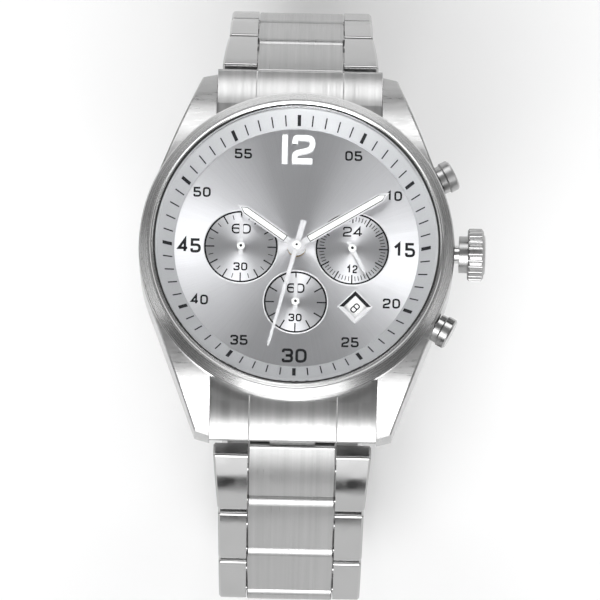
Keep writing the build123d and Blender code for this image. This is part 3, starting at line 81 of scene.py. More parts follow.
class CaseFinish(bpy.types.PropertyGroup):
    """Steel of the case and the bracelet."""

    steel: FloatVectorProperty(name="Steel", description="Colour of the steel", subtype="COLOR",
                               size=3, min=0, max=1, default=(0.6, 0.6, 0.6))
    brushed_roughness: FloatProperty(name="Brushed roughness", description="Roughness of brushed faces",
                                     subtype="FACTOR", min=0, max=1, default=0.34)
    polished_roughness: FloatProperty(name="Polished roughness", description="Roughness of polished faces",
                                      subtype="FACTOR", min=0, max=1, default=0.17)
    middle_width: FloatProperty(name="Brushed middle width", description="Width of the brushed middle row",
                                subtype="DISTANCE", default=11.6 * MM)


class DialFinish(bpy.types.PropertyGroup):
    """Colours of the dial and what is printed on it."""

    silver: FloatVectorProperty(name="Dial silver", description="Colour of the sunray dial", subtype="COLOR",
                                size=3, min=0, max=1, default=(0.72, 0.72, 0.73))
    flange: FloatVectorProperty(name="Flange grey", description="Colour of the sloping ring round the dial",
                                subtype="COLOR", size=3, min=0, max=1, default=(0.38, 0.385, 0.39))
    ink: FloatVectorProperty(name="Ink", description="Colour of printed marks and numerals", subtype="COLOR",
                             size=3, min=0, max=1, default=(0.005, 0.005, 0.006))
    lume: FloatVectorProperty(name="Luminous paint", description="Colour of the luminous paint", subtype="COLOR",
                              size=3, min=0, max=1, default=(0.66, 0.67, 0.65))
    numeral_reach: FloatProperty(name="Numeral circle", description="Radius that the minute numerals stand on",
                                 subtype="DISTANCE", default=14.7 * MM)
    numeral_height: FloatProperty(name="Numeral height", description="Height of the minute numerals",
                                  subtype="DISTANCE", default=1.35 * MM)
    date: IntProperty(name="Date", description="Day of the month that shows in the window", min=1, max=31,
                      default=8)


class StudioSizes(bpy.types.PropertyGroup):
    """Camera."""

    tilt: FloatProperty(name="Camera tilt", description="Camera off the dial's axis, towards 6 o'clock",
                        subtype="ANGLE", default=radians(13.3))
    roll: FloatProperty(name="Camera roll", description="Turn of the watch in the picture, clockwise",
                        subtype="ANGLE", default=radians(1.25))
    distance: FloatProperty(name="Camera distance", description="Camera to the bezel", subtype="DISTANCE",
                            default=0.85)
    view_width: FloatProperty(name="View width", description="Width seen at the bezel", subtype="DISTANCE",
                              default=79.47 * MM)


# ---------------------------------------------------------------- modelling helpers


def deselect():
    if bpy.context.object and bpy.context.object.mode != "OBJECT":
        bpy.ops.object.mode_set(mode="OBJECT")
    bpy.ops.object.select_all(action="DESELECT")


def select(*objects):
    deselect()
    for each in objects:
        each.select_set(True)
    bpy.context.view_layer.objects.active = objects[0]


def apply_place(piece):
    """Moves the piece's place into its mesh."""
    select(piece)
    bpy.ops.object.transform_apply(location=True, rotation=True, scale=True)
    return piece


def placed_copy(source, matrix):
    """A copy with its own mesh, moved by a matrix in millimetres."""
    twin = source.copy()
    twin.data = source.data.copy()
    bpy.context.collection.objects.link(twin)
    shift = matrix.copy()
    shift.translation = shift.translation * MM
    twin.data.transform(shift)
    return twin


def joined(pieces, name):
    select(*pieces)
    if len(pieces) > 1:
        bpy.ops.object.join()
    piece = bpy.context.object
    piece.name = name
    piece.data.name = name
    return piece


def bar(width, length, height, bevel=0.0):
    """A thin bar in millimetres lying along +Y from the origin, with its foot at z = 0."""
    deselect()
    bpy.ops.mesh.primitive_plane_add(size=1, location=(0, 0, 0))
    piece = bpy.context.object
    piece.scale = (width * MM, length * MM, 1)
    apply_place(piece)
    bpy.ops.object.mode_set(mode="EDIT")
    bpy.ops.mesh.select_all(action="SELECT")
    bpy.ops.mesh.extrude_region_move(TRANSFORM_OT_translate={"value": (0, 0, height * MM)})
    bpy.ops.mesh.select_all(action="SELECT")
    bpy.ops.mesh.normals_make_consistent(inside=False)
    bpy.ops.object.mode_set(mode="OBJECT")
    if bevel:
        edge = piece.modifiers.new("edge", "BEVEL")
        edge.width = bevel * MM
        edge.segments = 2
        bpy.ops.object.modifier_apply(modifier="edge")
    return piece


def washer(outer, inner, z0, z1, segments=96, bevel=0.0):
    """A flat ring in millimetres: a circle that is extruded, inset by its bore and closed."""
    deselect()
    bpy.ops.mesh.primitive_circle_add(vertices=segments, radius=outer * MM, fill_type="NOTHING")
    piece = bpy.context.object
    bpy.ops.object.mode_set(mode="EDIT")
    bpy.ops.mesh.select_all(action="SELECT")
    bpy.ops.mesh.extrude_edges_move(TRANSFORM_OT_translate={"value": (0, 0, 0)})
    bpy.ops.transform.resize(value=(inner / outer, inner / outer, 1))
    bpy.ops.mesh.select_all(action="SELECT")
    bpy.ops.mesh.extrude_region_move(TRANSFORM_OT_translate={"value": (0, 0, (z1 - z0) * MM)})
    bpy.ops.mesh.select_all(action="SELECT")
    bpy.ops.mesh.normals_make_consistent(inside=False)
    bpy.ops.object.mode_set(mode="OBJECT")
    piece.location = (0, 0, z0 * MM)
    apply_place(piece)
    if bevel:
        edge = piece.modifiers.new("edge", "BEVEL")
        edge.width = bevel * MM
        edge.segments = 2
        edge.limit_method = "ANGLE"
        bpy.ops.object.modifier_apply(modifier="edge")
        bpy.ops.object.shade_smooth_by_angle(angle=radians(35))
    return piece


# Each numeral as pen strokes in a box from -1 to 1: (x, y, rounding) corners, closed when it ends where it starts
STROKES = {
    "0": (((-1, 0, 0), (-1, 1, 1), (1, 1, 1), (1, -1, 1), (-1, -1, 1), (-1, 0, 0)),),
    "1": (((-0.75, 0.35, 0), (0.35, 1, 0), (0.35, -1, 0)),),
    "2": (((-1, 0.45, 0), (-1, 1, 1), (1, 1, 1), (1, 0.0, 1), (-1, -0.35, 0.6), (-1, -1, 0), (1, -1, 0)),),
    "3": (((-1, 0.55, 0), (-1, 1, 1), (1, 1, 1), (1, 0, 0.8), (-0.4, 0, 0)),
          ((-0.4, 0, 0), (1, 0, 0.8), (1, -1, 1), (-1, -1, 1), (-1, -0.55, 0))),
    "4": (((0.5, -1, 0), (0.5, 1, 0), (-1, -0.45, 0), (1.1, -0.45, 0)),),
    "5": (((0.95, 1, 0), (-0.95, 1, 0), (-0.95, 0.12, 0), (1, 0.12, 1), (1, -1, 1), (-1, -1, 1), (-1, -0.5, 0)),),
    "6": (((0.95, 0.6, 0), (0.95, 1, 0.9), (-1, 1, 1), (-1, -1, 1), (1, -1, 1), (1, 0.12, 0.9), (-1, 0.12, 0)),),
    "7": (((-1, 1, 0), (1, 1, 0.3), (-0.3, -1, 0)),),
    "8": (((0, 0.05, 0), (-1, 0.05, 0.8), (-1, 1, 0.9), (1, 1, 0.9), (1, 0.05, 0.8), (0, 0.05, 0)),
          ((0, 0.05, 0), (1, 0.05, 0.8), (1, -1, 1), (-1, -1, 1), (-1, 0.05, 0.8), (0, 0.05, 0))),
    "9": (((-0.95, -0.6, 0), (-0.95, -1, 0.9), (1, -1, 1), (1, 1, 1), (-1, 1, 1), (-1, -0.12, 0.9), (1, -0.12, 0)),),
    "I": (((0, 1, 0), (0, -1, 0)),),
}


def rounded_path(corners, curve):
    """Points of a pen stroke whose corners are rounded by up to this length."""
    points = []
    for i, (x, y, share) in enumerate(corners):
        spot = Vector((x, y))
        if not share or i in (0, len(corners) - 1):
            points.append(spot)
            continue
        before = Vector(corners[i - 1][:2]) - spot
        after = Vector(corners[i + 1][:2]) - spot
        reach = min(share * curve, before.length / 2, after.length / 2)
        start, stop = spot + before.normalized() * reach, spot + after.normalized() * reach
        for step in range(5):
            t = step / 4
            points.append(start * (1 - t) ** 2 + spot * 2 * t * (1 - t) + stop * t**2)
    return points


def pen_stroke(points, width, thickness):
    """A wall drawn point by point, then given the pen's width."""
    deselect()
    bpy.ops.mesh.primitive_plane_add(size=MM, location=(0, 0, 0))
    piece = bpy.context.object
    bpy.ops.object.mode_set(mode="EDIT")
    bpy.ops.mesh.select_all(action="SELECT")
    bpy.ops.mesh.merge(type="COLLAPSE")
    bpy.ops.transform.translate(value=(points[0].x * MM, points[0].y * MM, 0))
    for here, there in zip(points, points[1:]):
        step = (there - here) * MM
        bpy.ops.mesh.extrude_vertices_move(TRANSFORM_OT_translate={"value": (step.x, step.y, 0)})
    bpy.ops.mesh.select_all(action="SELECT")
    bpy.ops.mesh.remove_doubles(threshold=0.002 * MM)
    bpy.ops.mesh.select_all(action="SELECT")
    bpy.ops.mesh.extrude_region_move(TRANSFORM_OT_translate={"value": (0, 0, thickness * MM)})
    bpy.ops.mesh.select_all(action="SELECT")
    bpy.ops.mesh.normals_make_consistent(inside=False)
    bpy.ops.object.mode_set(mode="OBJECT")
    pen = piece.modifiers.new("pen", "SOLIDIFY")
    pen.thickness = width * MM
    pen.offset = 0
    pen.use_even_offset = True
    bpy.ops.object.modifier_apply(modifier="pen")
    return piece


def lettering(text, width, height, stroke, thickness=PRINT_T, gap=0.3):
    """Square-cut numerals of this overall width and height in millimetres, centred on the origin."""
    cell = (width - (len(text) - 1) * gap) / len(text)
    half_w, half_h = (cell - stroke) / 2, (height - stroke) / 2
    pieces = []
    for i, sign in enumerate(text):
        centre = -width / 2 + cell / 2 + i * (cell + gap)
        for corners in STROKES[sign]:
            scaled = [(x * half_w, y * half_h, share) for x, y, share in corners]
            path = rounded_path(scaled, 0.42 * cell)
            pieces.append(pen_stroke([p + Vector((centre, 0)) for p in path], stroke, thickness))
    return joined(pieces, "numeral")


def moved(piece, x, y, z):
    piece.data.transform(Matrix.Translation(Vector((x, y, z)) * MM))
    return piece


def finish(piece, name, material, body=CASE):
    piece.name = name
    piece.data.name = name
    piece.data.materials.clear()
    piece.data.materials.append(material)
    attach(piece, body)
    return piece


def clock_turn(angle):
    """Rotation that carries 12 o'clock to a clock angle in degrees."""
    return Matrix.Rotation(-radians(angle), 4, "Z")


def place(x, y, z):
    return Matrix.Translation((x, y, z))


# ---------------------------------------------------------------- material helpers


class Nodes:
    """Short hand for building one node tree."""

    def __init__(self, name):
        self.material = bpy.data.materials.new(name)
        self.material.use_nodes = True
        self.tree = self.material.node_tree
        self.tree.nodes.clear()
        self.output = self.add("ShaderNodeOutputMaterial")
        self.coordinates = self.add("ShaderNodeTexCoord")

    def add(self, kind, **values):
        node = self.tree.nodes.new(kind)
        for key, value in values.items():
            setattr(node, key, value)
        return node

    def link(self, source, target):
        self.tree.links.new(source, target)

    def put(self, socket, value):
        if hasattr(value, "node"):
            self.link(value, socket)
        else:
            socket.default_value = value

    def math(self, operation, a, b=0.0, c=0.0):
        node = self.add("ShaderNodeMath", operation=operation)
        for socket, value in zip(node.inputs, (a, b, c)):
            self.put(socket, value)
        return node.outputs[0]

    def vector(self, operation, a, b=(0, 0, 0)):
        node = self.add("ShaderNodeVectorMath", operation=operation)
        self.put(node.inputs[0], a)
        self.put(node.inputs[1], b)
        return node.outputs["Value"] if operation in ("LENGTH", "DOT_PRODUCT") else node.outputs["Vector"]

    def place(self):
        return self.coordinates.outputs["Object"]

    def split(self, vector):
        node = self.add("ShaderNodeSeparateXYZ")
        self.link(vector, node.inputs[0])
        return node.outputs

    def join(self, x, y, z):
        node = self.add("ShaderNodeCombineXYZ")
        for socket, value in zip(node.inputs, (x, y, z)):
            self.put(socket, value)
        return node.outputs[0]

    def stretched(self, vector, scale):
        return self.vector("MULTIPLY", vector, scale)

    def noise(self, vector, scale, detail=4.0, roughness=0.55):
        node = self.add("ShaderNodeTexNoise")
        self.link(vector, node.inputs["Vector"])
        node.inputs["Scale"].default_value = scale
        node.inputs["Detail"].default_value = detail
        node.inputs["Roughness"].default_value = roughness
        return node.outputs["Fac"]

    def spread(self, value, low, high, to_low, to_high):
        node = self.add("ShaderNodeMapRange")
        self.put(node.inputs["Value"], value)
        for key, number in (("From Min", low), ("From Max", high), ("To Min", to_low), ("To Max", to_high)):
            node.inputs[key].default_value = number
        return node.outputs["Result"]

    def mix(self, share, a, b):
        node = self.add("ShaderNodeMix", data_type="RGBA")
        self.put(node.inputs["Factor"], share)
        self.put(node.inputs[6], a)
        self.put(node.inputs[7], b)
        return node.outputs[2]

    def bump(self, height, strength, distance=0.0001):
        node = self.add("ShaderNodeBump")
        node.inputs["Strength"].default_value = strength
        node.inputs["Distance"].default_value = distance
        self.link(height, node.inputs["Height"])
        return node.outputs["Normal"]

    def to_world(self, vector):
        node = self.add("ShaderNodeVectorTransform", vector_type="VECTOR", convert_from="OBJECT", convert_to="WORLD")
        self.link(vector, node.inputs[0])
        return self.vector("NORMALIZE", node.outputs[0])

    def surface(self, **values):
        node = self.add("ShaderNodeBsdfPrincipled")
        for key, value in values.items():
            self.put(node.inputs[key.replace("_", " ")], value)
        self.link(node.outputs[0], self.output.inputs["Surface"])
        return node


# Scales a colour; it makes lighter and darker copies of the one steel as painted light and shade.
def shade(colour, share):
    return tuple(share * channel for channel in colour)


def rgba(colour, gain=1.0):
    return tuple(min(1.0, channel * gain) for channel in colour[:3]) + (1.0,)


def polished_steel(name, colour, roughness):
    """Mirror polish with faint wiping marks and a few fine scratches."""
    n = Nodes(name)
    haze = n.noise(n.place(), 260, 3)
    marks = n.noise(n.stretched(n.place(), (900, 5200, 900)), 1.0, 5, 0.7)
    rough = n.math("ADD", n.spread(haze, 0.35, 0.7, roughness * 0.7, roughness * 1.5),
                   n.spread(marks, 0.62, 0.8, 0.0, 0.05))
    tone = n.mix(n.spread(haze, 0.3, 0.7, 0.0, 1.0), rgba(colour, 0.96), rgba(colour, 1.02))
    n.surface(Base_Color=tone, Metallic=1.0, Roughness=rough, Normal=n.bump(haze, 0.05, 0.0002))
    return n.material


def brushed_steel(name, colour, roughness, grain=(900, 14, 14), elongation="X", anisotropy=0.75):
    """Straight brushing: fine lines that are long where the grain scale is small."""
    n = Nodes(name)
    lines = n.noise(n.stretched(n.place(), tuple(8 * g for g in grain)), 1.0, 6, 0.7)
    broad = n.noise(n.stretched(n.place(), grain), 1.0, 3)
    rough = n.spread(lines, 0.3, 0.7, roughness * 0.75, roughness * 1.25)
    tone = n.mix(n.spread(broad, 0.35, 0.65, 0.0, 1.0), rgba(colour, 0.86), rgba(colour, 1.03))
    axis = {"X": (1.0, 0.0, 0.0), "Y": (0.0, 1.0, 0.0), "Z": (0.0, 0.0, 1.0)}[elongation]
    tangent = n.to_world(n.join(*axis))
    n.surface(Base_Color=tone, Metallic=1.0, Roughness=rough, Anisotropic=anisotropy, Tangent=tangent,
              Normal=n.bump(lines, 0.25, 0.00003))
    return n.material


def turned_steel(name, colour, roughness, anisotropy=0.7):
    """Fine rings turned round the watch's axis."""
    n = Nodes(name)
    flat = n.vector("MULTIPLY", n.place(), (1, 1, 0))
    reach = n.vector("LENGTH", flat)
    lines = n.noise(n.join(reach, 0.0, 0.0), 9000, 6, 0.7)
    broad = n.noise(n.join(reach, n.split(n.place())[2], 0.0), 900, 2)
    tangent = n.to_world(n.vector("NORMALIZE", flat))
    rough = n.spread(lines, 0.3, 0.7, roughness * 0.8, roughness * 1.2)
    tone = n.mix(n.spread(broad, 0.35, 0.65, 0.0, 1.0), rgba(colour, 0.9), rgba(colour))
    n.surface(Base_Color=tone, Metallic=1.0, Roughness=rough, Anisotropic=anisotropy, Tangent=tangent,
              Normal=n.bump(lines, 0.15, 0.00003))
    return n.material


def printed(name, colour):
    """Thick pad-printed ink with a faint edge and speckle."""
    n = Nodes(name)
    speck = n.noise(n.place(), 9000, 3)
    tone = n.mix(n.spread(speck, 0.4, 0.7, 0.0, 1.0), rgba(colour), rgba(colour, 1.6))
    n.surface(Base_Color=tone, Roughness=n.spread(speck, 0.3, 0.7, 0.55, 0.7), Normal=n.bump(speck, 0.2, 0.00002),
              Specular_IOR_Level=0.12)
    return n.material


def lume_paint(name, colour):
    """Grainy luminous paint."""
    n = Nodes(name)
    grain = n.noise(n.place(), 14000, 3)
    tone = n.mix(n.spread(grain, 0.35, 0.7, 0.0, 1.0), rgba(colour, 0.93), rgba(colour, 1.05))
    n.surface(Base_Color=tone, Roughness=0.7, Normal=n.bump(grain, 0.35, 0.00003))
    return n.material


def matt_metal(name, colour, metallic=0.35, roughness=0.48):
    """Fine grained plating, as on the flange."""
    n = Nodes(name)
    grain = n.noise(n.place(), 11000, 3)
    broad = n.noise(n.place(), 300, 2)
    tone = n.mix(n.spread(grain, 0.35, 0.65, 0.0, 1.0), rgba(colour, 0.94), rgba(colour, 1.05))
    n.surface(Base_Color=tone, Metallic=metallic, Roughness=n.spread(broad, 0.3, 0.7, roughness * 0.9, roughness * 1.1),
              Normal=n.bump(grain, 0.2, 0.00002))
    return n.material


def plain_moulded(name, colour, roughness=0.5, grain_scale=6000, bump=0.15):
    n = Nodes(name)
    grain = n.noise(n.place(), grain_scale, 3)
    tone = n.mix(n.spread(grain, 0.35, 0.65, 0.0, 1.0), rgba(colour, 0.92), rgba(colour, 1.06))
    n.surface(Base_Color=tone, Roughness=n.spread(grain, 0.3, 0.7, roughness * 0.85, roughness * 1.15),
              Normal=n.bump(grain, bump, 0.00003))
    return n.material


def clear_crystal(name):
    """Clear crystal that lets the lamps through to the dial."""
    n = Nodes(name)
    glass = n.add("ShaderNodeBsdfPrincipled")
    glass.inputs["Base Color"].default_value = (0.985, 0.99, 1.0, 1.0)
    glass.inputs["Transmission Weight"].default_value = 1.0
    glass.inputs["IOR"].default_value = 1.3
    smear = n.noise(n.place(), 120, 2)
    n.link(n.spread(smear, 0.3, 0.7, 0.0, 0.012), glass.inputs["Roughness"])
    clear = n.add("ShaderNodeBsdfTransparent")
    path = n.add("ShaderNodeLightPath")
    either = n.add("ShaderNodeMixShader")
    n.link(path.outputs["Is Shadow Ray"], either.inputs[0])
    n.link(glass.outputs[0], either.inputs[1])
    n.link(clear.outputs[0], either.inputs[2])
    n.link(either.outputs[0], n.output.inputs["Surface"])
    return n.material


def two_finish_links(name, colour, brushed, polished, half_width):
    """Bracelet steel: brushed along its length in the middle row, polished in the outer rows."""
    n = Nodes(name)
    across = n.math("ABSOLUTE", n.split(n.place())[0])
    outer_row = n.math("GREATER_THAN", across, half_width)
    lines = n.noise(n.stretched(n.place(), (9000, 120, 120)), 1.0, 6, 0.7)
    broad = n.noise(n.stretched(n.place(), (1400, 20, 20)), 1.0, 3)
    haze = n.noise(n.place(), 300, 3)
    brushed_rough = n.spread(lines, 0.3, 0.7, brushed * 0.75, brushed * 1.25)
    polished_rough = n.spread(haze, 0.35, 0.7, polished * 0.7, polished * 1.5)
    rough = n.math("ADD", n.math("MULTIPLY", outer_row, polished_rough),
                   n.math("MULTIPLY", n.math("SUBTRACT", 1.0, outer_row), brushed_rough))
    satin = n.mix(n.spread(broad, 0.35, 0.65, 0.0, 1.0), rgba(colour, 0.9), rgba(colour, 1.0))
    bright = n.mix(n.spread(haze, 0.3, 0.7, 0.0, 1.0), rgba(colour, 0.97), rgba(colour, 1.03))
    height = n.math("MULTIPLY", lines, n.math("SUBTRACT", 1.0, outer_row))
    n.surface(Base_Color=n.mix(outer_row, satin, bright), Metallic=1.0, Roughness=rough,
              Normal=n.bump(height, 0.3, 0.00003))
    return n.material


def dial_silver(name, colour):
    """Sunray dial whose three small dials are turned in fine circles."""
    n = Nodes(name)
    flat = n.vector("MULTIPLY", n.place(), (1, 1, 0))
    outward = n.vector("NORMALIZE", flat)
    unit = n.split(outward)
    tangent = n.join(n.math("MULTIPLY", unit[1], -1.0), unit[0], 0.0)
    lines = n.noise(outward, 120, 6, 0.8)
    for (x, y), radius in SUBDIALS.values():
        offset = n.vector("SUBTRACT", flat, (x * MM, y * MM, 0))
        reach = n.vector("LENGTH", offset)
        inside = n.math("LESS_THAN", reach, radius * MM)
        rings = n.noise(n.join(reach, 0.0, 0.0), 16000, 3, 0.6)
        lines = n.math("ADD", n.math("MULTIPLY", rings, inside),
                       n.math("MULTIPLY", lines, n.math("SUBTRACT", 1.0, inside)))
        out_there = n.vector("NORMALIZE", offset)
        mixer = n.add("ShaderNodeMix", data_type="VECTOR")
        n.link(inside, mixer.inputs["Factor"])
        n.link(tangent, mixer.inputs[4])
        n.link(out_there, mixer.inputs[5])
        tangent = mixer.outputs[1]
    tone = n.mix(n.spread(lines, 0.3, 0.7, 0.0, 1.0), rgba(colour, 0.93), rgba(colour, 1.05))
    n.surface(Base_Color=tone, Metallic=1.0, Roughness=n.spread(lines, 0.3, 0.7, 0.28, 0.38), Anisotropic=0.9,
              Tangent=n.to_world(tangent), Normal=n.bump(lines, 0.12, 0.00002))
    return n.material


MATERIALS = {}


def material(key):
    return MATERIALS[key]


def make_materials(scene):
    steel = tuple(scene.watch_case.steel)
    dial = scene.watch_dial
    brushed = scene.watch_case.brushed_roughness
    polished = scene.watch_case.polished_roughness
    half_middle = scene.watch_case.middle_width / 2
    MATERIALS.update({
        # The one steel is scaled per part as painted light and shade: brighter on the bezel, darker on the case,
        # pushers, crown and end links.
        "case": brushed_steel("case_satin", shade(steel, 0.88), 0.32, (60, 500, 60), "Y", 0.3),
        "bezel": turned_steel("bezel_brushed", shade(steel, 1.25), 0.26, 0.5),
        "polished": polished_steel("steel_polished", steel, polished),
        "pusher": polished_steel("pusher_polish_painted_dark", shade(steel, 0.7), 0.25),
        "crown": polished_steel("crown_satin", shade(steel, 0.62), 0.3),
        "end": brushed_steel("end_link_satin", shade(steel, 0.8), 0.38, (900, 14, 14), "X", 0.3),
        # The bracelet's steel is darkened as painted shade: it stands in for the dark reflections on the links.
        "links": two_finish_links("bracelet_rows_painted_dark", shade(steel, 0.72), brushed, polished, half_middle),
        "back": turned_steel("case_back_turned", steel, 0.3),
        "clasp": brushed_steel("clasp_brushed", steel, brushed, (900, 14, 14), "X"),
        "crystal": clear_crystal("crystal_clear"),
        "gasket": plain_moulded("gasket_black", (0.012, 0.012, 0.012), 0.6),
        "flange": matt_metal("flange_grey", tuple(dial.flange)),
        "dial": dial_silver("dial_silver", tuple(dial.silver)),
        "date": plain_moulded("date_white", (0.8, 0.8, 0.79), 0.5),
        "holder": plain_moulded("holder_plastic", (0.8, 0.78, 0.72), 0.5),
        "plate": turned_steel("plate_rhodium", (0.7, 0.7, 0.69), 0.3),
        "gilt": turned_steel("train_gilt", (0.8, 0.6, 0.28), 0.28),
        "lever": brushed_steel("lever_steel", (0.6, 0.6, 0.62), 0.25, (500, 60, 60), "X"),
        "ruby": plain_moulded("ruby", (0.45, 0.01, 0.05), 0.08, 3000, 0.02),
        "hand": matt_metal("hand_bright", (0.66, 0.66, 0.665), 0.45, 0.35),
        "ink": printed("ink_black", tuple(dial.ink)),
        "white_ink": lume_paint("numeral_white", (0.9, 0.9, 0.89)),
        "lume": lume_paint("lume", tuple(dial.lume)),
    })


# ---------------------------------------------------------------- pieces


class WATCH_OT_finishes(bpy.types.Operator):
    """Give every machined node its finish"""

    bl_idname = "watch.finishes"
    bl_label = "Finishes"

    def execute(self, context):
        make_materials(context.scene)
        by_slot = {
            "satin_steel": "case", "polished_steel": "polished", "bracelet_steel": "links", "sapphire": "crystal",
            "gasket_black": "gasket", "flange_grey": "flange", "dial_silver": "dial", "date_white": "date",
            "holder_plastic": "holder", "plate_rhodium": "plate", "train_gilt": "gilt", "blued_steel": "lever",
            "ruby": "ruby", "hand_polished": "hand",
        }
        by_node = {
            "bezel": "bezel", "case_back": "back", "crown": "crown", "pusher_start": "pusher", "pusher_reset": "pusher",
            "end_link_12": "end", "end_link_6": "end", "clasp_cover": "clasp", "clasp_long_leaf": "clasp",
            "clasp_short_leaf": "clasp",
        }
        for part in frame["record"]["subparts"]:
            node = part["node"]
            key = by_node.get(node, by_slot[part["material_slot"]])
            for holder in frame["nodes"][node].material_slots:
                holder.material = material(key)
        return {"FINISHED"}


def flange_height(reach):
    share = (reach - FLANGE_FOOT[0]) / (FLANGE_RIM[0] - FLANGE_FOOT[0])
    return FLANGE_FOOT[1] + share * (FLANGE_RIM[1] - FLANGE_FOOT[1])


class WATCH_OT_minute_track(bpy.types.Operator):
    """Print the sixty marks on the sloping flange"""

    bl_idname = "watch.minute_track"
    bl_label = "Minute track"

    def execute(self, context):
        near, far = TRACK_NEAR, TRACK_FAR
        rise = flange_height(far) - flange_height(near)
        length = hypot(far - near, rise)
        slope = Matrix.Rotation(atan2(rise, far - near), 4, "X")
        middle = place(0, (near + far) / 2, flange_height((near + far) / 2))
        wide = bar(0.46, length, PRINT_T)
        fine = bar(0.17, length, PRINT_T)
        marks = []
        for i in range(60):
            source = wide if i % 5 == 0 else fine
            marks.append(placed_copy(source, clock_turn(i * 6) @ middle @ slope))
        for source in (wide, fine):
            bpy.data.objects.remove(source)
        finish(joined(marks, "minute_track"), "minute_track", material("ink"))
        return {"FINISHED"}


class WATCH_OT_dial_numerals(bpy.types.Operator):
    """Print the minute numerals and fix the large numeral at 12"""

    bl_idname = "watch.dial_numerals"
    bl_label = "Dial numerals"

    def execute(self, context):
        sizes = context.scene.watch_dial
        reach = sizes.numeral_reach / MM
        height = sizes.numeral_height / MM
        numerals = []
        for minute in (5, 10, 20, 25, 35, 40, 50, 55):
            angle = radians(90 - minute * 6)
            piece = lettering(f"{minute:02d}", 2.3, height, 0.25, gap=0.22)
            numerals.append(moved(piece, reach * cos(angle), reach * sin(angle), DIAL_TOP))
        for text, x, y, width, tall in (("15", 14.25, 0, 3.0, 1.95), ("45", -14.25, 0, 3.1, 1.95),
                                        ("30", 0, -14.7, 3.3, 1.9)):
            numerals.append(moved(lettering(text, width, tall, 0.35, gap=0.3), x, y, DIAL_TOP))
        finish(joined(numerals, "minute_numerals"), "minute_numerals", material("ink"))
        for name, key, stroke, thickness in (
            ("twelve_base", "hand", 0.78, 0.24),
            ("twelve_face", "white_ink", 0.62, 0.3),
        ):
            one = moved(lettering("I", stroke, TWELVE_H + 2 * stroke, stroke, thickness), -1.85, TWELVE_Y, DIAL_TOP)
            two = moved(lettering("2", 2.35 + stroke, TWELVE_H + stroke, stroke, thickness), 0.66, TWELVE_Y, DIAL_TOP)
            finish(joined([one, two], name), name, material(key))
        return {"FINISHED"}


def dial_marks(centre, radius, majors, minors, length, z):
    """Tick marks of a small dial, pointing inwards from its rim."""
    outer = radius - 0.22
    short = length * 0.55
    wide = bar(0.17, length, PRINT_T)
    fine = bar(0.1, short, PRINT_T)
    marks = []
    total = majors * minors
    for i in range(total):
        major = i % minors == 0
        source = wide if major else fine
        middle = outer - (length / 2 if major else 0.28 + short / 2)
        turn = clock_turn(i * 360 / total)
        marks.append(placed_copy(source, place(centre[0], centre[1], z) @ turn @ place(0, middle, 0)))
    for source in (wide, fine):
        bpy.data.objects.remove(source)
    return marks


class WATCH_OT_small_dials(bpy.types.Operator):
    """Print the marks, rings and numerals of the three small dials"""

    bl_idname = "watch.small_dials"
    bl_label = "Small dials"

    def execute(self, context):
        floor = DIAL_TOP - SUBDIAL_SINK
        layout = {
            "counter": (12, 2, 1.15, (("60", 2.45, 2.56, 1.35), ("30", -2.7, 1.85, 1.1))),
            "day": (12, 5, 1.15, (("24", 2.35, 2.56, 1.35), ("12", -2.75, 1.5, 1.1))),
            "seconds": (12, 1, 1.15, (("60", 1.9, 2.35, 1.3), ("30", -2.1, 1.75, 1.05))),
        }
        for name, (majors, minors, length, words) in layout.items():
            centre, radius = SUBDIALS[name]
            pieces = dial_marks(centre, radius, majors, minors, length, floor)
            pieces.append(moved(washer(radius - 0.02, radius - 0.24, floor, floor + PRINT_T), *centre, 0))
            for text, up, width, height in words:
                piece = lettering(text, width, height, 0.2, gap=0.18)
                pieces.append(moved(piece, centre[0], centre[1] + up, floor + 0.005))
            finish(joined(pieces, f"{name}_print"), f"{name}_print", material("ink"))
            rim = moved(washer(radius + 0.15, radius, DIAL_TOP - 0.01, DIAL_TOP + 0.06, bevel=0.03), *centre, 0)
            finish(rim, f"{name}_rim", material("hand"))
        return {"FINISHED"}


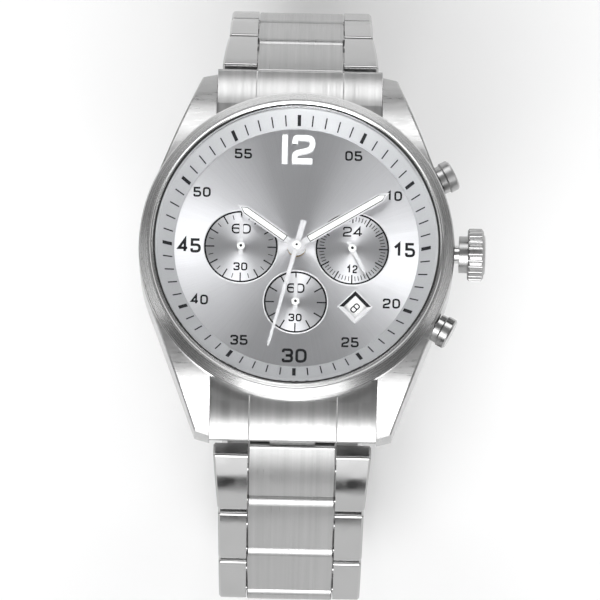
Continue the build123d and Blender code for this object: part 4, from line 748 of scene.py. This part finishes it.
class WATCH_OT_date(bpy.types.Operator):
    """Print the date ring and frame its window"""

    bl_idname = "watch.date"
    bl_label = "Date"

    def execute(self, context):
        shown = context.scene.watch_dial.date
        numbers = []
        for day in range(1, 32):
            piece = lettering(str(day), 0.85 if day < 10 else 1.75, 1.4, 0.17, gap=0.16)
            turn = Matrix.Rotation(radians(DATE_TURN + (shown - day) * 360 / 31), 4, "Z")
            numbers.append(placed_copy(piece, turn @ place(DATE_REACH, 0, DATE_TOP)))
            bpy.data.objects.remove(piece)
        finish(joined(numbers, "date_numbers"), "date_numbers", material("ink"), "date")
        self.frame_window()
        return {"FINISHED"}

    def frame_window(self):
        """A raised square rim whose inner slopes run down to the window; its two inner slopes on the +Y side take black
        ink as painted dark reflection.
        """
        outer, crest, inner = 3.3, 2.98, 2.16
        deselect()
        bpy.ops.mesh.primitive_circle_add(vertices=4, radius=outer / 2**0.5 * MM, location=(0, 0, 0))
        border = bpy.context.object
        bpy.ops.object.mode_set(mode="EDIT")
        bpy.ops.mesh.select_all(action="SELECT")
        for rise, shrink in ((0.24, 1.0), (0.0, crest / outer), (-0.2, inner / crest), (-0.04, 1.0)):
            bpy.ops.mesh.extrude_edges_move(TRANSFORM_OT_translate={"value": (0, 0, rise * MM)})
            bpy.ops.transform.resize(value=(shrink, shrink, 1))
        bpy.ops.mesh.select_all(action="SELECT")
        bpy.ops.mesh.remove_doubles(threshold=0.001 * MM)
        bpy.ops.mesh.normals_make_consistent(inside=False)
        bpy.ops.object.mode_set(mode="OBJECT")
        spin = Matrix.Rotation(radians(DATE_TURN), 4, "Z")
        centre = spin @ Vector((DATE_REACH, 0, 0))
        # The inner slopes on the +Y side get the black ink: painted dark reflection on the polished rim.
        painted_dark_slopes = []
        for face in border.data.polygons:
            slope = abs(face.normal.z)
            painted_dark_slopes.append(0.2 < slope < 0.99 and face.center.y > 0)
        moved(border, centre.x, centre.y, DIAL_TOP)
        finish(border, "date_frame", material("hand"))
        border.data.materials.append(material("ink"))
        for face, slope_painted_dark in zip(border.data.polygons, painted_dark_slopes):
            face.material_index = 1 if slope_painted_dark else 0


def inlay(width, start, stop, tip, z):
    """Luminous strip along +Y with a pointed end, its foot at height z."""
    deselect()
    bpy.ops.mesh.primitive_plane_add(size=1, location=(0, 0, 0))
    piece = bpy.context.object
    piece.scale = (width * MM, (stop - start) * MM, 1)
    piece.location = (0, (start + stop) / 2 * MM, 0)
    apply_place(piece)
    bpy.ops.object.mode_set(mode="EDIT")
    bpy.ops.mesh.select_all(action="DESELECT")
    bpy.ops.mesh.select_mode(type="EDGE")
    bpy.ops.object.mode_set(mode="OBJECT")
    for edge in piece.data.edges:
        ends = [piece.data.vertices[i].co.y for i in edge.vertices]
        edge.select = min(ends) > (stop - 0.01) * MM
    bpy.ops.object.mode_set(mode="EDIT")
    bpy.ops.mesh.extrude_edges_move(TRANSFORM_OT_translate={"value": (0, tip * MM, 0)})
    bpy.ops.transform.resize(value=(0.05, 1, 1))
    bpy.ops.mesh.select_all(action="SELECT")
    bpy.ops.mesh.extrude_region_move(TRANSFORM_OT_translate={"value": (0, 0, 0.05 * MM)})
    bpy.ops.mesh.select_all(action="SELECT")
    bpy.ops.mesh.normals_make_consistent(inside=False)
    bpy.ops.object.mode_set(mode="OBJECT")
    piece.data.transform(Matrix.Translation((0, 0, z * MM)))
    return piece


class WATCH_OT_hand_inlays(bpy.types.Operator):
    """Fill the hour and minute hands with luminous paint over a dark outline of painted shade, and cap the hubs"""

    bl_idname = "watch.hand_inlays"
    bl_label = "Hand inlays"

    def execute(self, context):
        for name, node, body, angle, start, stop in (
            ("hour", "hour_hand", "hour", 304.9, 1.9, 8.35),
            ("minute", "minute_hand", "centre", 58.4, 1.9, 12.95),
        ):
            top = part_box(node)[1][2] / MM
            # The ink strip is a little wider than the luminous inlay and lies under it, showing as a dark outline:
            # painted shade at the inlay's edge.
            for part, key, wider, lift in (("painted_shade_outline", "ink", 0.1, -0.03), ("inlay", "lume", 0.0, -0.015)):
                strip = inlay(0.72 + 2 * wider, start - wider, stop, 0.62 + wider, top + lift)
                strip.data.transform(clock_turn(angle))
                finish(strip, f"{name}_{part}", material(key), body)
        caps = (
            ("seconds", "chrono_seconds_hand", "chrono", (0, 0), 0.56, 0.16),
            ("counter", "minute_counter_hand", "counter", SUBDIALS["counter"][0], 0.5, 0.19),
            ("day", "day_hand", "day", SUBDIALS["day"][0], 0.5, 0.19),
            ("small_seconds", "small_seconds_hand", "fourth", SUBDIALS["seconds"][0], 0.5, 0.19),
        )
        for name, node, body, centre, radius, dot in caps:
            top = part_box(node)[1][2] / MM
            boss = moved(washer(radius, 0.02, top - 0.08, top + 0.05, 40, 0.03), *centre, 0)
            finish(boss, f"{name}_boss", material("lume"), body)
            pin = moved(washer(dot, 0.02, top - 0.02, top + 0.08, 24, 0.015), *centre, 0)
            finish(pin, f"{name}_pin", material("ink"), body)
        return {"FINISHED"}


class WATCH_OT_studio(bpy.types.Operator):
    """Set up the pale floor, the soft lights and the camera"""

    bl_idname = "watch.studio"
    bl_label = "Studio"

    def execute(self, context):
        scene = context.scene
        sizes = scene.watch_studio
        scene.view_settings.view_transform = "Standard"
        self.camera(scene, sizes)
        self.floor()
        self.world(scene)
        self.lamp("lamp_12", (0, 0.62, 0.68), (1.0, 0.45), 2.6)
        self.lamp("lamp_6", (0, -0.72, 0.72), (1.0, 0.35), 2.6)
        self.lamp("lamp_low_12", (0, 0.95, 0.12), (0.9, 0.16), 1.4)
        self.lamp("lamp_low_6", (0, -0.95, 0.36), (0.9, 0.42), 1.5)
        self.lamp("lamp_3", (0.9, 0.0, 0.4), (0.6, 0.22), 1.8)
        self.lamp("lamp_9", (-0.9, 0.0, 0.4), (0.6, 0.22), 2.2)
        self.sun()
        return {"FINISHED"}

    def camera(self, scene, sizes):
        tilt, roll = sizes.tilt, sizes.roll
        forward = Vector((0, sin(tilt), -cos(tilt)))
        up_level = Vector((0, cos(tilt), sin(tilt)))
        right_level = Vector((1, 0, 0))
        up = up_level * cos(roll) - right_level * sin(roll)
        right = right_level * cos(roll) + up_level * sin(roll)
        aim = Vector((0, 0, 10.8 * MM)) + right * 0.44 * MM - up * 7.4 * MM
        bpy.ops.object.camera_add()
        camera = bpy.context.object
        camera.name = "camera"
        basis = Matrix((right, up, -forward)).transposed()
        camera.matrix_world = Matrix.Translation(aim - forward * sizes.distance) @ basis.to_4x4()
        camera.data.lens = 36 * sizes.distance / sizes.view_width
        camera.data.clip_end = 10
        scene.camera = camera

    def floor(self):
        deselect()
        bpy.ops.mesh.primitive_plane_add(size=4, location=(0, 0, FLOOR_Z - 0.0001))
        floor = bpy.context.object
        floor.name = "floor"
        n = Nodes("floor_white")
        grain = n.noise(n.place(), 30, 3)
        n.surface(Base_Color=n.mix(grain, (0.93, 0.93, 0.93, 1), (0.95, 0.95, 0.95, 1)), Roughness=0.9)
        floor.data.materials.append(n.material)

    def world(self, scene):
        world = bpy.data.worlds.new("studio")
        scene.world = world
        world.use_nodes = True
        tree = world.node_tree
        background = tree.nodes["Background"]
        place = tree.nodes.new("ShaderNodeTexCoord")
        split = tree.nodes.new("ShaderNodeSeparateXYZ")
        tree.links.new(place.outputs["Generated"], split.inputs[0])
        ramp = tree.nodes.new("ShaderNodeValToRGB")
        tree.links.new(split.outputs[2], ramp.inputs[0])
        stops = ((0.0, 0.03), (0.15, 0.04), (0.5, 0.1), (0.8, 0.22), (1.0, 0.26))
        while len(ramp.color_ramp.elements) < len(stops):
            ramp.color_ramp.elements.new(0.5)
        for element, (position, shade) in zip(ramp.color_ramp.elements, stops):
            element.position = position
            element.color = (shade, shade, shade, 1)
        tree.links.new(ramp.outputs[0], background.inputs["Color"])
        background.inputs["Strength"].default_value = 1.0

    def lamp(self, name, spot, size, brightness):
        bpy.ops.object.light_add(type="AREA", location=spot)
        lamp = bpy.context.object
        lamp.name = name
        lamp.data.shape = "RECTANGLE"
        lamp.data.size, lamp.data.size_y = size
        lamp.data.energy = brightness * pi * size[0] * size[1]
        aim = Vector((0, 0, 0)) - Vector(spot)
        lamp.rotation_euler = aim.to_track_quat("-Z", "Y").to_euler()


    def sun(self):
        """A broad soft key that mainly brightens the floor."""
        bpy.ops.object.light_add(type="SUN", location=(-0.4, -0.3, 1.0))
        sun = bpy.context.object
        sun.name = "sun_soft"
        sun.data.energy = 1.7
        sun.data.angle = radians(40)
        sun.rotation_euler = Vector((0.12, 0.75, -0.9)).to_track_quat("-Z", "Y").to_euler()


class WATCH_PT_panel(bpy.types.Panel):
    """Lists the steps in the sidebar"""

    bl_idname = "WATCH_PT_panel"
    bl_label = "Wrist chronograph"
    bl_space_type = "VIEW_3D"
    bl_region_type = "UI"
    bl_category = "Watch"

    def draw(self, context):
        for settings in ("watch_case", "watch_dial", "watch_studio"):
            group = getattr(context.scene, settings)
            for key in group.__annotations__:
                self.layout.prop(group, key)
        for step in STEPS:
            self.layout.operator(step.bl_idname)


STEPS = (WATCH_OT_studio, WATCH_OT_finishes, WATCH_OT_minute_track, WATCH_OT_dial_numerals, WATCH_OT_small_dials,
         WATCH_OT_date, WATCH_OT_hand_inlays)
GROUPS = {"watch_case": CaseFinish, "watch_dial": DialFinish, "watch_studio": StudioSizes}


def register():
    for each in (*GROUPS.values(), *STEPS, WATCH_PT_panel):
        bpy.utils.register_class(each)
    for name, group in GROUPS.items():
        setattr(bpy.types.Scene, name, PointerProperty(type=group))


def unregister():
    for name in GROUPS:
        delattr(bpy.types.Scene, name)
    for each in (WATCH_PT_panel, *reversed(STEPS), *GROUPS.values()):
        bpy.utils.unregister_class(each)


def main():
    register()
    for step in STEPS:
        family, name = step.bl_idname.split(".")
        getattr(getattr(bpy.ops, family), name)()


if __name__ == "__main__":
    main()
